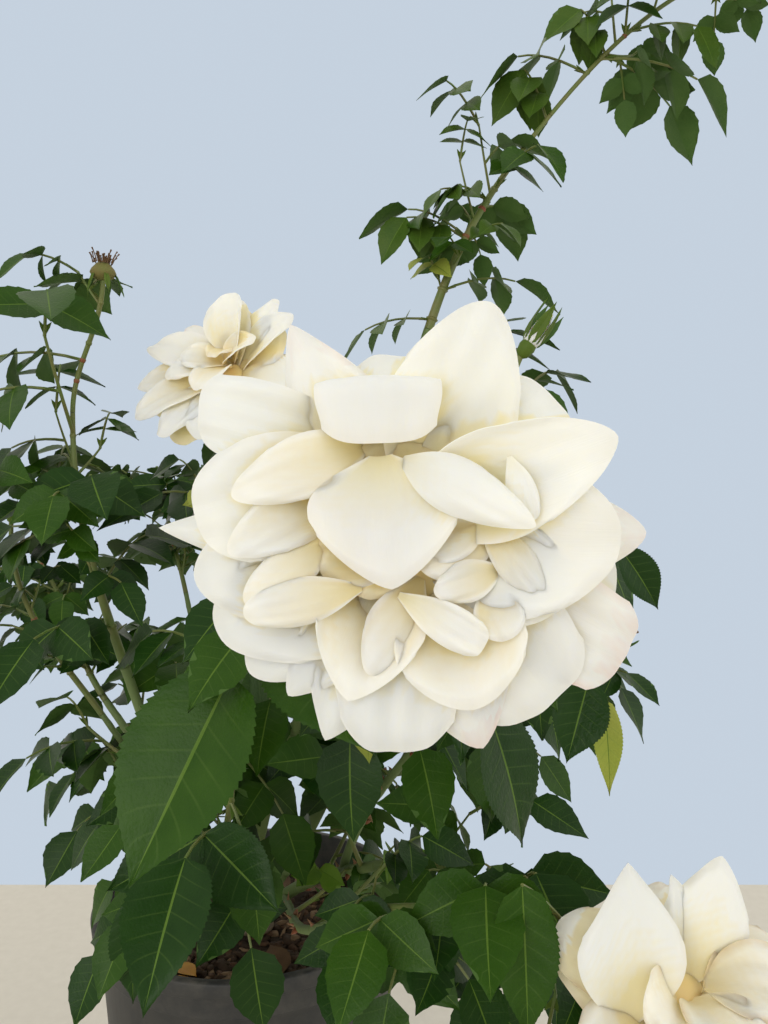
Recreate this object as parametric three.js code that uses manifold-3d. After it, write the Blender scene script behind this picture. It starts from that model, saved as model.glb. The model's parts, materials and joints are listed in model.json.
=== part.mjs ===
// A white rose bush in a black nursery pot, at its real size: canes that rise from one graft union,
// leafy sprays at their tips, two open blooms, a fading one, buds and a spent flower head.
// Millimetres, +Z up. The origin is the centre of the pot's flat underside, and -Y is the front.
import * as THREE from "three";
import { mergeVertices } from "three/addons/utils/BufferGeometryUtils.js";
import Module from "manifold-3d";

const wasm = await Module();
wasm.setup();
const { Manifold, Mesh: SolidMesh } = wasm;

// Driving dimensions.
const CLEARANCE = 0.3; // between pieces that rest on or grow from one another
const LEAF_CLEARANCE = 0.5; // around each leaf that is tried against what stands there
const WELD = 1e-4;
const FUSE_TOLERANCE = { spray: 0.12, bloom: 0.4 }; // how far a mass may move where small faces are joined
const POT = {
  height: 260,
  footRadius: 87,
  topRadius: 111,
  wall: 2.6,
  floor: 3,
  lipReach: 4,
  lipDepth: 11,
  sides: 26,
  drains: { count: 5, ring: 58, radius: 7, sides: 6 },
};
const SOIL = { drop: 28, ripple: 3, settled: 0.6, calmRadius: 38, wallMargin: 14, rings: 3, seed: 5 };
const UNION = { height: 42, sides: 12, profile: [[18, 0], [12.5, 0.3], [16, 0.6], [9, 0.92]] };
const SOIL_TOP = POT.height - SOIL.drop;
const UNION_FOOT = SOIL_TOP + CLEARANCE;

// Each cane leaves its parent at a share of the parent's length, in its first heading, and curves to its
// tip. A heading is [azimuth, elevation] in degrees, where azimuth 0 is +X and 90 is +Y.
const CANES = {
  front_cane: {
    from: "graft_union", at: 0.14, start: [-88, 52], tip: [77, -206, 482], end: [-76, 26], girth: [5.2, 3.1],
  },
  arch_cane: {
    from: "graft_union", at: 0.3, start: [8, 50], tip: [127, -76, 664], end: [-8, 72], girth: [5.4, 3.2],
  },
  left_cane: {
    from: "graft_union", at: 0.3, start: [-142, 54], tip: [-57, -118, 452], end: [-150, 72],
    girth: [5.0, 2.9],
  },
  rear_cane: {
    from: "graft_union", at: 0.26, start: [92, 54], tip: [-6, 92, 470], end: [100, 74], girth: [5.2, 3.0],
  },
  flank_cane: {
    from: "graft_union", at: 0.12, start: [160, 50], tip: [-128, 46, 392], end: [165, 50], girth: [4.6, 2.8],
  },
  right_cane: {
    from: "graft_union", at: 0.1, start: [-38, 46], tip: [112, -140, 346], end: [-58, 26], girth: [4.8, 2.8],
  },
  middle_bough: {
    from: "front_cane", at: 0.3, start: [140, 60], tip: [6, -78, 500], end: [-100, 74], girth: [3.4, 2.4],
  },
  low_front_bough: {
    from: "front_cane", at: 0.12, start: [-112, 30], tip: [12, -158, 344], end: [-88, 42], girth: [3.2, 2.3],
  },
  low_right_bough: {
    from: "right_cane", at: 0.2, start: [-74, 16], tip: [74, -182, 334], end: [-56, 34], girth: [3.2, 2.3],
  },
  bud_bough: {
    from: "right_cane", at: 0.62, start: [-30, 74], tip: [136, -164, 468], end: [-74, 66], girth: [3.0, 2.2],
  },
  outer_left_bough: {
    from: "flank_cane", at: 0.24, start: [-140, 50], tip: [-90, -66, 410], end: [-170, 56], girth: [3.0, 2.0],
  },
  rear_right_bough: {
    from: "arch_cane", at: 0.16, start: [70, 44], tip: [112, 104, 420], end: [58, 58], girth: [3.4, 2.4],
  },
  side_right_bough: {
    from: "arch_cane", at: 0.24, start: [14, 18], tip: [176, 22, 366], end: [8, 40], girth: [3.2, 2.2],
  },
  rear_left_bough: {
    from: "rear_cane", at: 0.34, start: [150, 40], tip: [-84, 128, 470], end: [125, 58], girth: [3.2, 2.2],
  },
};
const CANE = { sway: 0.38, sides: 6, steps: 6 };

// Each mass of leaves is a stem that goes on from its cane's tip, with leaves and side twigs that turn
// about it by the golden angle. The leaves of a lit spray turn to the light in front. A key leaf is one that
// stands out from the front: [share of the stem, azimuth, elevation, leaflet length, pairs of leaflets].
const SPRAYS = {
  front_spray: {
    from: "front_cane", tip: [100, -312, 524], end: [-86, 18], leaves: 0, twigs: 0, size: 44,
    seed: 11, lit: true,
    key: [
      [0.68, -136, -1, 70, 1], [0.14, -45, -32, 38, 2], [0.08, -156, -12, 40, 1], [0.74, -1, -37, 56, 1],
      [0.34, -96, -54, 42, 1],
    ],
  },
  low_front_spray: {
    from: "low_front_bough", tip: [30, -236, 424], end: [-80, 40], leaves: 0, twigs: 0, size: 44,
    seed: 71, lit: true,
    key: [[0.56, -99, 26, 57, 1], [0.41, -44, -55, 41, 1], [0.2, 172, -20, 44, 1], [0.84, -40, -50, 40, 0]],
  },
  right_spray: {
    from: "right_cane", tip: [182, -262, 362], end: [-58, 18], leaves: 3, twigs: 1, size: 40,
    seed: 61, lit: true, key: [],
  },
  middle_spray: {
    from: "middle_bough", tip: [12, -122, 590], end: [-106, 52], leaves: 4, twigs: 0, size: 38,
    seed: 53, lit: true, key: [],
  },
  arch_spray_low: {
    from: "arch_cane", tip: [206, -78, 803], end: [-4, 50], leaves: 1, twigs: 0, size: 36,
    seed: 23,
    key: [
      [0.04, 190, 6, 32, 2], [0.16, -8, 22, 36, 2], [0.4, 176, 42, 37, 2], [0.64, -62, 30, 36, 2],
      [0.58, 205, 30, 28, 1],
    ],
  },
  arch_spray_high: {
    from: "arch_spray_low", tip: [380, -68, 917], end: [4, 10], leaves: 3, twigs: 0, size: 38,
    seed: 31,
    key: [[0.16, 178, 32, 38, 2], [0.22, -14, -4, 42, 2], [0.32, -100, 46, 34, 2], [0.6, -50, 0, 42, 2]],
  },
  left_spray_low: {
    from: "left_cane", tip: [-82, -134, 602], end: [110, 84], leaves: 5, twigs: 1, size: 42,
    seed: 41, lit: true, key: [],
  },
  left_spray_top: {
    from: "left_spray_low", tip: [-60, -146, 676], end: [-60, 80], leaves: 3, twigs: 0, size: 38,
    seed: 47, lit: true, key: [[0.4, 184, 16, 40, 2]],
  },
  low_right_spray: {
    from: "low_right_bough", tip: [146, -270, 386], end: [-34, 16], leaves: 0, twigs: 0, size: 44,
    seed: 83, lit: true, key: [[0.93, -97, 54, 42, 1], [0.77, -98, 48, 32, 0], [0.12, -96, 10, 32, 1]],
  },
  bud_spray: {
    from: "bud_bough", tip: [156, -254, 612], end: [-10, 66], leaves: 1, twigs: 0, size: 38,
    seed: 97, lit: true,
    key: [[0.22, -7, -34, 47, 1], [0.02, -55, -55, 41, 1], [0.59, -15, 6, 50, 1], [0.36, -40, -38, 44, 1]],
  },
  outer_left_spray: {
    from: "outer_left_bough", tip: [-135, -98, 540], end: [100, 82], leaves: 3, twigs: 0, size: 26,
    seed: 101, lit: true, key: [],
  },
  rear_spray: {
    from: "rear_cane", tip: [-20, 128, 664], end: [110, 72], leaves: 5, twigs: 0, size: 42,
    seed: 113, key: [],
  },
  flank_spray: {
    from: "flank_cane", tip: [-196, 62, 512], end: [170, 46], leaves: 4, twigs: 1, size: 42,
    seed: 127, key: [],
  },
  rear_right_spray: {
    from: "rear_right_bough", tip: [164, 168, 566], end: [50, 56], leaves: 4, twigs: 1, size: 42,
    seed: 131, key: [],
  },
  side_right_spray: {
    from: "side_right_bough", tip: [262, 34, 436], end: [0, 24], leaves: 4, twigs: 0, size: 40,
    seed: 139, key: [],
  },
  rear_left_spray: {
    from: "rear_left_bough", tip: [-128, 186, 590], end: [120, 58], leaves: 5, twigs: 0, size: 42,
    seed: 149, key: [],
  },
};
const STEM = { tipGirth: 1.4, sides: 5, steps: 4, firstLeaf: 0.08 };
const TWIG = {
  girth: [1.2, 0.8],
  length: [50, 78],
  spread: [40, 58],
  rise: 0.12, // how far its tip turns up, in its lengths
  sides: 3,
  steps: 2,
  leaves: 2,
  leafInset: 0.02,
  leafSize: 0.9,
};
const LEAF = {
  goldenAngle: 137.5,
  spread: [44, 66], // degrees between a stem and a leaf's stalk
  endSpread: 0.4, // of that, for the leaf at a twig's tip
  turnJitter: 30,
  shorten: 0.15, // how far the stalk's tip draws back and hangs, as shares of its length
  hang: 0.25,
  stalk: 0.6, // the stalk's bare part, in leaflet lengths
  pairGap: 0.52,
  pairSize: 0.85,
  girth: [1.0, 0.7],
  width: 0.64, // of a leaflet, in its lengths
  thickness: 0.024,
  leastThick: 0.9,
  fold: 0.16,
  droop: 0.1,
  side: [0.3, 0.95], // how far a side leaflet turns forwards and sideways
  turnSpread: 0.3,
  faceOut: 0.9, // how far its upper side turns out from the bush
  faceLight: 1.2, // and towards the light, on a lit spray
  weep: [0.25, 0.8], // how far the leaflets hang
  sizeSpread: 0.16,
  tripleFrom: 0.7, // leaves nearer the tip have three leaflets
};
// Along and half across a leaflet, in its lengths and widths.
const LEAFLET_RINGS = { small: [[0.44, 0.54]], large: [[0.26, 0.43], [0.6, 0.42]] };
const LARGE_LEAFLET = 45;

// Petals open from a core in rings. Lean is a petal's angle from the bloom's axis at its foot and at its
// end, cup bends its sides in and roll bends its end's sides back. Reach is how far its tip comes from the
// axis. A ring's petals either stand evenly, or each has its own place: [clock angle, reach].
const PETAL = {
  thickness: 1.6,
  rows: 2,
  columns: 2,
  neck: 0.14,
  widest: 0.8,
  tipFall: 0.24,
  tipRound: 2.2,
  spineSteps: 24,
  flat: 0.01,
};
const BLOOM = {
  hipRadius: 6.5,
  hipLength: 13,
  hipStretch: 1.4, // the hip reaches into the core
  sepals: 5,
  sepalLength: 30,
  sepalsOpen: 118,
  neckSwell: 1.6,
  neckSteps: 3,
  sides: 8,
};
// Profiles, as shares of a radius and of a height.
const CORE_PROFILE = [[0, -0.24], [0.8, 0.16], [1, 0.5], [0.72, 0.88], [0, 1]];
const BUD_PROFILE = [[0, 0], [0.75, 0.12], [1, 0.4], [0.6, 0.8], [0, 1]];
// Shares of the length and radius of the bud and of the length of the sepal.
const SEPAL = { foot: 0.22, ring: 0.7, width: 0.24 };
const BLOOMS = {
  front_bloom: {
    from: "front_spray",
    heart: [103, -354, 537],
    face: [-90, 0],
    core: [25, 30],
    rings: [
      {
        width: 46, lean: [44, 100], cup: 0.5, roll: 0.5,
        petals: [
          [29, 61], [-2, 64], [-32, 68], [-76, 54], [-128, 54], [168, 65], [143, 67], [93, 54], [70, 69],
        ],
      },
      {
        width: 42, lean: [38, 84], cup: 0.6, roll: 0.5,
        petals: [[46, 57], [5, 59], [-52, 57], [-106, 57], [-154, 56], [186, 58], [155, 60], [116, 64]],
      },
      { width: 38, lean: [20, 60], cup: 0.8, roll: 0.3, count: 5, reach: 33 },
    ],
  },
  left_bloom: {
    from: "middle_spray",
    heart: [9, -137, 617],
    face: [-112, 28],
    core: [24, 30],
    rings: [
      { width: 46, lean: [44, 96], cup: 0.6, roll: 0.5, count: 7, reach: 52 },
      { width: 42, lean: [28, 70], cup: 0.8, roll: 0.3, count: 5, reach: 38 },
    ],
  },
  fading_bloom: {
    from: "right_spray",
    heart: [200, -296, 366],
    face: [-78, 50],
    core: [21, 26],
    rings: [
      { width: 42, lean: [30, 76], cup: 0.8, roll: 0.3, count: 7, reach: 46 },
      { width: 38, lean: [22, 48], cup: 0.9, roll: 0.2, count: 5, reach: 31 },
    ],
  },
};

// Buds and the spent head end a spray.
const TIP_PLACE = 0.99;
const TIPS = {
  bud_spray: { face: [-12, 58], radius: 6.5, length: 21, sepals: 5, sepalLength: 31, open: 18 },
  left_spray_top: { face: [-70, 84], radius: 7.5, length: 13, sepals: 5, sepalLength: 15, open: 62 },
  outer_left_spray: { face: [70, 84], radius: 3.8, length: 13, sepals: 3, sepalLength: 11, open: 14 },
};

const COLOURS = {
  pot: { color: 0x2b2c2e, roughness: 0.55 },
  soil: { color: 0x2a1c14, roughness: 0.95 },
  graft_union: { color: 0x6a5a3c, roughness: 0.85 },
  cane: { color: 0x5d7a36, roughness: 0.55 },
  spray: { color: 0x1f4a1a, roughness: 0.45 },
  bloom: { color: 0xf4eedd, roughness: 0.5 },
};

const UP = new THREE.Vector3(0, 0, 1);
const LIGHT = new THREE.Vector3(0, -1, 0);
const { degToRad, lerp, smoothstep } = THREE.MathUtils;

function point(coordinates) {
  return new THREE.Vector3(...coordinates);
}

function heading([azimuth, elevation]) {
  const flat = Math.cos(degToRad(elevation));
  return new THREE.Vector3(
    flat * Math.cos(degToRad(azimuth)),
    flat * Math.sin(degToRad(azimuth)),
    Math.sin(degToRad(elevation)),
  );
}

// A small seeded generator, so that the bush grows the same each time.
function seededRandom(seed) {
  let state = seed >>> 0;
  return () => {
    state = (state + 0x6d2b79f5) >>> 0;
    let mixed = Math.imul(state ^ (state >>> 15), state | 1);
    mixed ^= mixed + Math.imul(mixed ^ (mixed >>> 7), mixed | 61);
    return ((mixed ^ (mixed >>> 14)) >>> 0) / 4294967296;
  };
}

function between([low, high], share) {
  return lerp(low, high, share);
}

// Solids.
function solidOf(geometry) {
  geometry.deleteAttribute("normal");
  geometry.deleteAttribute("uv");
  const merged = mergeVertices(geometry, WELD);
  const corners = merged.index.array;
  const kept = [];
  for (let i = 0; i < corners.length; i += 3) {
    const [a, b, c] = corners.slice(i, i + 3);
    if (a !== b && b !== c && c !== a) kept.push(a, b, c);
  }
  return new Manifold(new SolidMesh({
    numProp: 3,
    vertProperties: new Float32Array(merged.attributes.position.array),
    triVerts: new Uint32Array(kept),
  }));
}

function turned(profile, sides) {
  const points = profile.map(([radius, height]) => new THREE.Vector2(radius, height));
  return new THREE.LatheGeometry(points, sides).rotateX(Math.PI / 2);
}

// A limb with closed ends that tapers along a curve.
function bentLimb(curve, [baseGirth, tipGirth], sides, steps) {
  const geometry = new THREE.CylinderGeometry(1, 1, 1, sides, steps);
  const { normals } = curve.computeFrenetFrames(steps);
  const places = geometry.attributes.position;
  for (let i = 0; i < places.count; i += 1) {
    const share = places.getY(i) + 0.5;
    const tangent = curve.getTangent(share);
    const across = normals[Math.round(share * steps)].clone();
    across.addScaledVector(tangent, -across.dot(tangent)).normalize();
    const beside = new THREE.Vector3().crossVectors(across, tangent);
    const girth = lerp(baseGirth, tipGirth, share);
    const place = curve.getPoint(share)
      .addScaledVector(across, places.getX(i) * girth)
      .addScaledVector(beside, places.getZ(i) * girth);
    places.setXYZ(i, place.x, place.y, place.z);
  }
  return solidOf(geometry);
}

// The middle of a bent limb, which is straight between its steps.
function onLimb(curve, share, steps) {
  const step = Math.min(steps - 1, Math.floor(share * steps));
  return curve.getPoint(step / steps).lerp(curve.getPoint((step + 1) / steps), share * steps - step);
}

function swayingCurve(foot, first, tip, last, sway) {
  const span = foot.distanceTo(tip) * sway;
  return new THREE.CubicBezierCurve3(
    foot,
    foot.clone().addScaledVector(first, span),
    tip.clone().addScaledVector(last, -span),
    tip,
  );
}

// A closed solid that is put together ring by ring.
class Shell {
  corners = [];
  faces = [];

  add(places) {
    return places.map((place) => this.corners.push(place) - 1);
  }

  // Joins two rings of the same number of corners, which both run anticlockwise about the way to the second.
  sleeve(ring, next, open = []) {
    ring.forEach((a, i) => {
      const j = (i + 1) % ring.length;
      if (!open.includes(i)) this.faces.push(a, ring[j], next[j], a, next[j], next[i]);
    });
  }

  // The same, where each corner of the second ring lies between two of the first.
  turnedSleeve(ring, next) {
    ring.forEach((a, i) => {
      const j = (i + 1) % ring.length;
      this.faces.push(a, ring[j], next[i], ring[j], next[j], next[i]);
    });
  }

  point(ring, tip) {
    ring.forEach((a, i) => this.faces.push(a, ring[(i + 1) % ring.length], tip));
  }

  solid() {
    return new Manifold(new SolidMesh({
      numProp: 3,
      vertProperties: new Float32Array(this.corners.flatMap((corner) => corner.toArray())),
      triVerts: new Uint32Array(this.faces),
    }));
  }
}

// A leaflet's blade, thin at its rim and folded along its midrib, drawn out of a ring of four corners.
// Its rings run first edge, under side, second edge, upper side, from the corner that lies between.
function addBlade(shell, root, { base, along, out, length, width }, order, grow) {
  const across = new THREE.Vector3().crossVectors(out, along);
  const thick = Math.max(LEAF.leastThick, length * LEAF.thickness) / 2 + grow;
  const place = (share, sideways, lift) => base.clone()
    .addScaledVector(along, share * (length + grow))
    .addScaledVector(across, sideways)
    .addScaledVector(out, lift + Math.abs(sideways) * LEAF.fold - share * share * length * LEAF.droop);
  let ring = root;
  const rings = length > LARGE_LEAFLET ? LEAFLET_RINGS.large : LEAFLET_RINGS.small;
  rings.forEach(([share, halfWidth], i) => {
    const half = halfWidth * width + grow;
    const sides = {
      left: place(share, half, 0),
      right: place(share, -half, 0),
      top: place(share, 0, thick),
      under: place(share, 0, -thick),
    };
    const next = shell.add(order.map((side) => sides[side]));
    if (i === 0) shell.turnedSleeve(ring, next);
    else shell.sleeve(ring, next);
    ring = next;
  });
  shell.point(ring, shell.add([place(1, 0, 0)])[0]);
}

// A leaflet by itself, on a root of its own.
function looseBlade(blade) {
  const shell = new Shell();
  const across = new THREE.Vector3().crossVectors(blade.out, blade.along);
  const half = LEAF.girth[0] / 2;
  const corner = (sideways, lift) => (
    blade.base.clone().addScaledVector(across, sideways).addScaledVector(blade.out, lift));
  const root = shell.add([
    corner(half, half),
    corner(-half, half),
    corner(-half, -half),
    corner(half, -half),
  ]);
  shell.faces.push(root[2], root[1], root[0], root[3], root[2], root[0]);
  addBlade(shell, root, blade, ["top", "right", "under", "left"], 0);
  return shell.solid();
}

// A rose leaf: a sagging stalk with pairs of leaflets and one at its end.
function growLeaf(foot, way, length, pairs, random, lit) {
  const stalk = length * (LEAF.stalk + pairs * LEAF.pairGap);
  const facing = way.clone().setZ(0).setLength(LEAF.faceOut).add(UP);
  if (lit) facing.addScaledVector(LIGHT, LEAF.faceLight);
  const mid = foot.clone().addScaledVector(way, stalk * 0.5);
  const end = foot.clone()
    .addScaledVector(way, stalk * (1 - LEAF.shorten))
    .addScaledVector(UP, -stalk * LEAF.hang);
  const curve = new THREE.QuadraticBezierCurve3(foot, mid, end);
  const leaflet = (share, side, size) => {
    const hang = between(LEAF.weep, random());
    const forward = side === 0 ? 1 : LEAF.side[0] * (1 + (random() - 0.5) * LEAF.turnSpread);
    const tangent = curve.getTangent(share);
    const sideways = new THREE.Vector3().crossVectors(tangent, UP).normalize();
    const along = tangent.multiplyScalar(forward)
      .addScaledVector(sideways, side * LEAF.side[1])
      .addScaledVector(UP, -hang)
      .normalize();
    const out = facing.clone().addScaledVector(along, -facing.dot(along)).normalize();
    return { base: curve.getPoint(share), along, out, length: size, width: size * LEAF.width };
  };
  const nodes = [];
  for (let pair = 0; pair < pairs; pair += 1) {
    const share = (LEAF.stalk + pair * LEAF.pairGap) / (LEAF.stalk + pairs * LEAF.pairGap);
    const size = length * LEAF.pairSize ** (pairs - pair);
    nodes.push({ share, left: leaflet(share, -1, size), right: leaflet(share, 1, size) });
  }
  return { curve, nodes, last: leaflet(1, 0, length), length };
}

function leafSolid({ curve, nodes, last, length }, grow = 0) {
  const shell = new Shell();
  const ringAt = (share) => {
    const tangent = curve.getTangent(share);
    const side = new THREE.Vector3().crossVectors(tangent, UP).normalize();
    const rise = new THREE.Vector3().crossVectors(side, tangent);
    const half = between(LEAF.girth, share) * Math.SQRT1_2 + grow;
    const middle = curve.getPoint(share);
    return shell.add([[-1, 1], [1, 1], [1, -1], [-1, -1]].map(([across, up]) => (
      middle.clone().addScaledVector(side, across * half).addScaledVector(rise, up * half))));
  };
  let ring = ringAt(0);
  shell.faces.push(ring[2], ring[1], ring[0], ring[3], ring[2], ring[0]);
  const reach = LEAF.girth[0] / curve.getLength();
  for (const { share, left, right } of nodes) {
    const rear = ringAt(share - reach);
    const front = ringAt(share + reach);
    shell.sleeve(ring, rear);
    shell.sleeve(rear, front, [1, 3]);
    addBlade(shell, [rear[1], rear[2], front[2], front[1]], right, ["right", "under", "left", "top"], grow);
    addBlade(shell, [rear[3], rear[0], front[0], front[3]], left, ["left", "top", "right", "under"], grow);
    ring = front;
  }
  const end = ringAt(1);
  shell.sleeve(ring, end);
  addBlade(shell, end, last, ["top", "right", "under", "left"], grow);
  return shell.solid();
}

// What stands already, so that leaves keep clear of it.
const standing = [];

function boxesMeet(one, other) {
  return [0, 1, 2].every((axis) => one.min[axis] <= other.max[axis] && other.min[axis] <= one.max[axis]);
}

function touches(candidate, others, owner) {
  const box = candidate.boundingBox();
  return others.some((other) => (
    other.owner !== owner && boxesMeet(box, other.box) && candidate.intersect(other.solid).volume() > 0));
}

function stand(solid, owner) {
  standing.push({ solid, owner, box: solid.boundingBox() });
}

// The way from a stem at a share of its length, turned about it and spread from it.
function branchWay(curve, share, turn, spread) {
  const tangent = curve.getTangent(share);
  const level = new THREE.Vector3().crossVectors(UP, tangent);
  if (level.lengthSq() < 0.01) level.set(1, 0, 0);
  level.normalize();
  const raised = new THREE.Vector3().crossVectors(tangent, level);
  const radial = level.multiplyScalar(Math.cos(degToRad(turn)))
    .addScaledVector(raised, Math.sin(degToRad(turn)));
  return tangent.multiplyScalar(Math.cos(degToRad(spread)))
    .addScaledVector(radial, Math.sin(degToRad(spread)))
    .normalize();
}

// A side twig, and the same with room around it.
function growTwig(foot, way, random) {
  const length = between(TWIG.length, random());
  const tip = foot.clone().addScaledVector(way, length).addScaledVector(UP, length * TWIG.rise);
  const curve = new THREE.QuadraticBezierCurve3(foot, foot.clone().addScaledVector(way, length / 2), tip);
  const roomyGirth = TWIG.girth.map((girth) => girth + LEAF_CLEARANCE);
  return {
    curve,
    turn: random() * 360,
    solid: bentLimb(curve, TWIG.girth, TWIG.sides, TWIG.steps),
    roomy: bentLimb(curve, roomyGirth, TWIG.sides, TWIG.steps),
  };
}

function growSpray(name, spray, { curve, stem }) {
  const pieces = [stem];
  const mine = [];
  const random = seededRandom(spray.seed);
  const isClear = (roomy) => !touches(roomy, standing, name) && !touches(roomy, mine);
  const tryLeaf = (foot, way, length, pairs) => {
    const leaf = growLeaf(foot, way, length, pairs, random, spray.lit);
    if (!isClear(leafSolid(leaf, LEAF_CLEARANCE))) return;
    const solid = leafSolid(leaf);
    pieces.push(solid);
    mine.push({ solid, box: solid.boundingBox() });
  };
  for (const [share, azimuth, elevation, length, pairs] of spray.key) {
    tryLeaf(onLimb(curve, share, STEM.steps), heading([azimuth, elevation]), length, pairs);
  }
  const phase = random() * 360;
  const count = spray.leaves + spray.twigs;
  const twigEvery = spray.twigs ? Math.floor(count / spray.twigs) : count + 1;
  for (let i = 0; i < count; i += 1) {
    const share = lerp(STEM.firstLeaf, 1, (i + 0.5) / count);
    const turn = phase + i * LEAF.goldenAngle + (random() - 0.5) * LEAF.turnJitter;
    const size = spray.size * (1 + (random() - 0.5) * 2 * LEAF.sizeSpread);
    const foot = onLimb(curve, share, STEM.steps);
    if (i % twigEvery === twigEvery - 1) {
      const twig = growTwig(foot, branchWay(curve, share, turn, between(TWIG.spread, random())), random);
      const clear = isClear(twig.roomy);
      if (clear) pieces.push(twig.solid);
      for (let j = 0; j < TWIG.leaves; j += 1) {
        const place = (j + 1) / TWIG.leaves;
        const spread = between(LEAF.spread, random()) * (j + 1 < TWIG.leaves ? 1 : LEAF.endSpread);
        const leafWay = branchWay(twig.curve, place, twig.turn + j * LEAF.goldenAngle, spread);
        const leafFoot = twig.curve.getPoint(place - TWIG.leafInset);
        if (clear) tryLeaf(leafFoot, leafWay, size * TWIG.leafSize, 1);
        else growLeaf(leafFoot, leafWay, size * TWIG.leafSize, 1, random);
      }
    } else {
      const way = branchWay(curve, share, turn, between(LEAF.spread, random()));
      tryLeaf(foot, way, size, share > LEAF.tripleFrom ? 1 : 2);
    }
  }
  return pieces;
}

// A bud, a hip or a spent head with its sepals, at the end of a stem.
function budSolids({ face, radius, length, sepals, sepalLength, open }, foot) {
  const axis = heading(face);
  const turn = new THREE.Quaternion().setFromUnitVectors(UP, axis);
  const bulb = turned(BUD_PROFILE.map(([out, up]) => [out * radius, up * length]), BLOOM.sides);
  bulb.applyQuaternion(turn).translate(foot.x, foot.y, foot.z);
  const solids = [solidOf(bulb)];
  for (let i = 0; i < sepals; i += 1) {
    const around = new THREE.Vector3(1, 0, 0)
      .applyAxisAngle(UP, (i * 2 * Math.PI) / sepals)
      .applyQuaternion(turn);
    const along = axis.clone().multiplyScalar(Math.cos(degToRad(open)))
      .addScaledVector(around, Math.sin(degToRad(open)));
    const out = around.clone().addScaledVector(along, -around.dot(along)).normalize();
    const base = foot.clone()
      .addScaledVector(axis, length * SEPAL.foot)
      .addScaledVector(around, radius * SEPAL.ring);
    const width = sepalLength * SEPAL.width;
    solids.push(looseBlade({ base, along, out, length: sepalLength, width }));
  }
  return solids;
}

// A petal's middle line in its own plane, by small steps of its length: how far out, how far forward, lean.
function petalSpine(lean) {
  const spine = [{ out: 0, forward: 0, lean: degToRad(lean[0]) }];
  for (let i = 1; i <= PETAL.spineSteps; i += 1) {
    const share = i / PETAL.spineSteps;
    const angle = degToRad(lerp(lean[0], lean[1], smoothstep(share, 0, 1)));
    const last = spine[i - 1];
    spine.push({
      out: last.out + Math.sin(angle) / PETAL.spineSteps,
      forward: last.forward + Math.cos(angle) / PETAL.spineSteps,
      lean: angle,
    });
  }
  return spine;
}

// A petal's cross section is an arc of the given bend: how far across and how far in its point v lies.
function petalSection(bend, v, half) {
  if (Math.abs(bend) < PETAL.flat) return { across: v * half, lift: 0 };
  return { across: (Math.sin(bend * v) / bend) * half, lift: ((1 - Math.cos(bend * v)) / bend) * half };
}

function petalSolid({ axis, right, above, heart, clock, reach, width, lean, cup, roll }) {
  const spine = petalSpine(lean);
  const length = reach / spine[PETAL.spineSteps].out;
  const radial = right.clone().multiplyScalar(Math.cos(degToRad(clock)))
    .addScaledVector(above, Math.sin(degToRad(clock)));
  const side = new THREE.Vector3().crossVectors(radial, axis);
  const sheets = [[], []];
  for (let row = 0; row <= PETAL.rows; row += 1) {
    const u = row / PETAL.rows;
    const half = (width / 2) * lerp(PETAL.neck, 1, Math.min(1, u / PETAL.widest));
    const bend = lerp(cup, -roll, smoothstep(u, 0, 1));
    for (let column = 0; column <= PETAL.columns; column += 1) {
      const v = (2 * column) / PETAL.columns - 1;
      const along = u * (1 - PETAL.tipFall * Math.abs(v) ** PETAL.tipRound);
      const knot = Math.min(PETAL.spineSteps - 1, Math.floor(along * PETAL.spineSteps));
      const rest = along * PETAL.spineSteps - knot;
      const out = lerp(spine[knot].out, spine[knot + 1].out, rest) * length;
      const forward = lerp(spine[knot].forward, spine[knot + 1].forward, rest) * length;
      const angle = lerp(spine[knot].lean, spine[knot + 1].lean, rest);
      const inner = axis.clone().multiplyScalar(Math.sin(angle)).addScaledVector(radial, -Math.cos(angle));
      const { across, lift } = petalSection(bend, v, half);
      const place = heart.clone()
        .addScaledVector(radial, out)
        .addScaledVector(axis, forward)
        .addScaledVector(side, across);
      sheets[0].push(place.clone().addScaledVector(inner, lift + PETAL.thickness / 2));
      sheets[1].push(place.clone().addScaledVector(inner, lift - PETAL.thickness / 2));
    }
  }
  const wide = PETAL.columns + 1;
  const back = sheets[0].length;
  const faces = [];
  for (let row = 0; row < PETAL.rows; row += 1) {
    for (let column = 0; column < PETAL.columns; column += 1) {
      const a = row * wide + column;
      const b = back + a;
      faces.push(a, a + 1, a + wide + 1, a, a + wide + 1, a + wide);
      faces.push(b + 1, b, b + wide + 1, b + wide + 1, b, b + wide);
    }
  }
  const rim = [];
  for (let column = 0; column < PETAL.columns; column += 1) rim.push(column);
  for (let row = 0; row < PETAL.rows; row += 1) rim.push(row * wide + PETAL.columns);
  for (let column = PETAL.columns; column > 0; column -= 1) rim.push(PETAL.rows * wide + column);
  for (let row = PETAL.rows; row > 0; row -= 1) rim.push(row * wide);
  rim.forEach((a, i) => {
    const b = rim[(i + 1) % rim.length];
    faces.push(b, a, back + a, b, back + a, back + b);
  });
  return new Manifold(new SolidMesh({
    numProp: 3,
    vertProperties: new Float32Array([...sheets[0], ...sheets[1]].flatMap((corner) => corner.toArray())),
    triVerts: new Uint32Array(faces),
  }));
}

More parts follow.
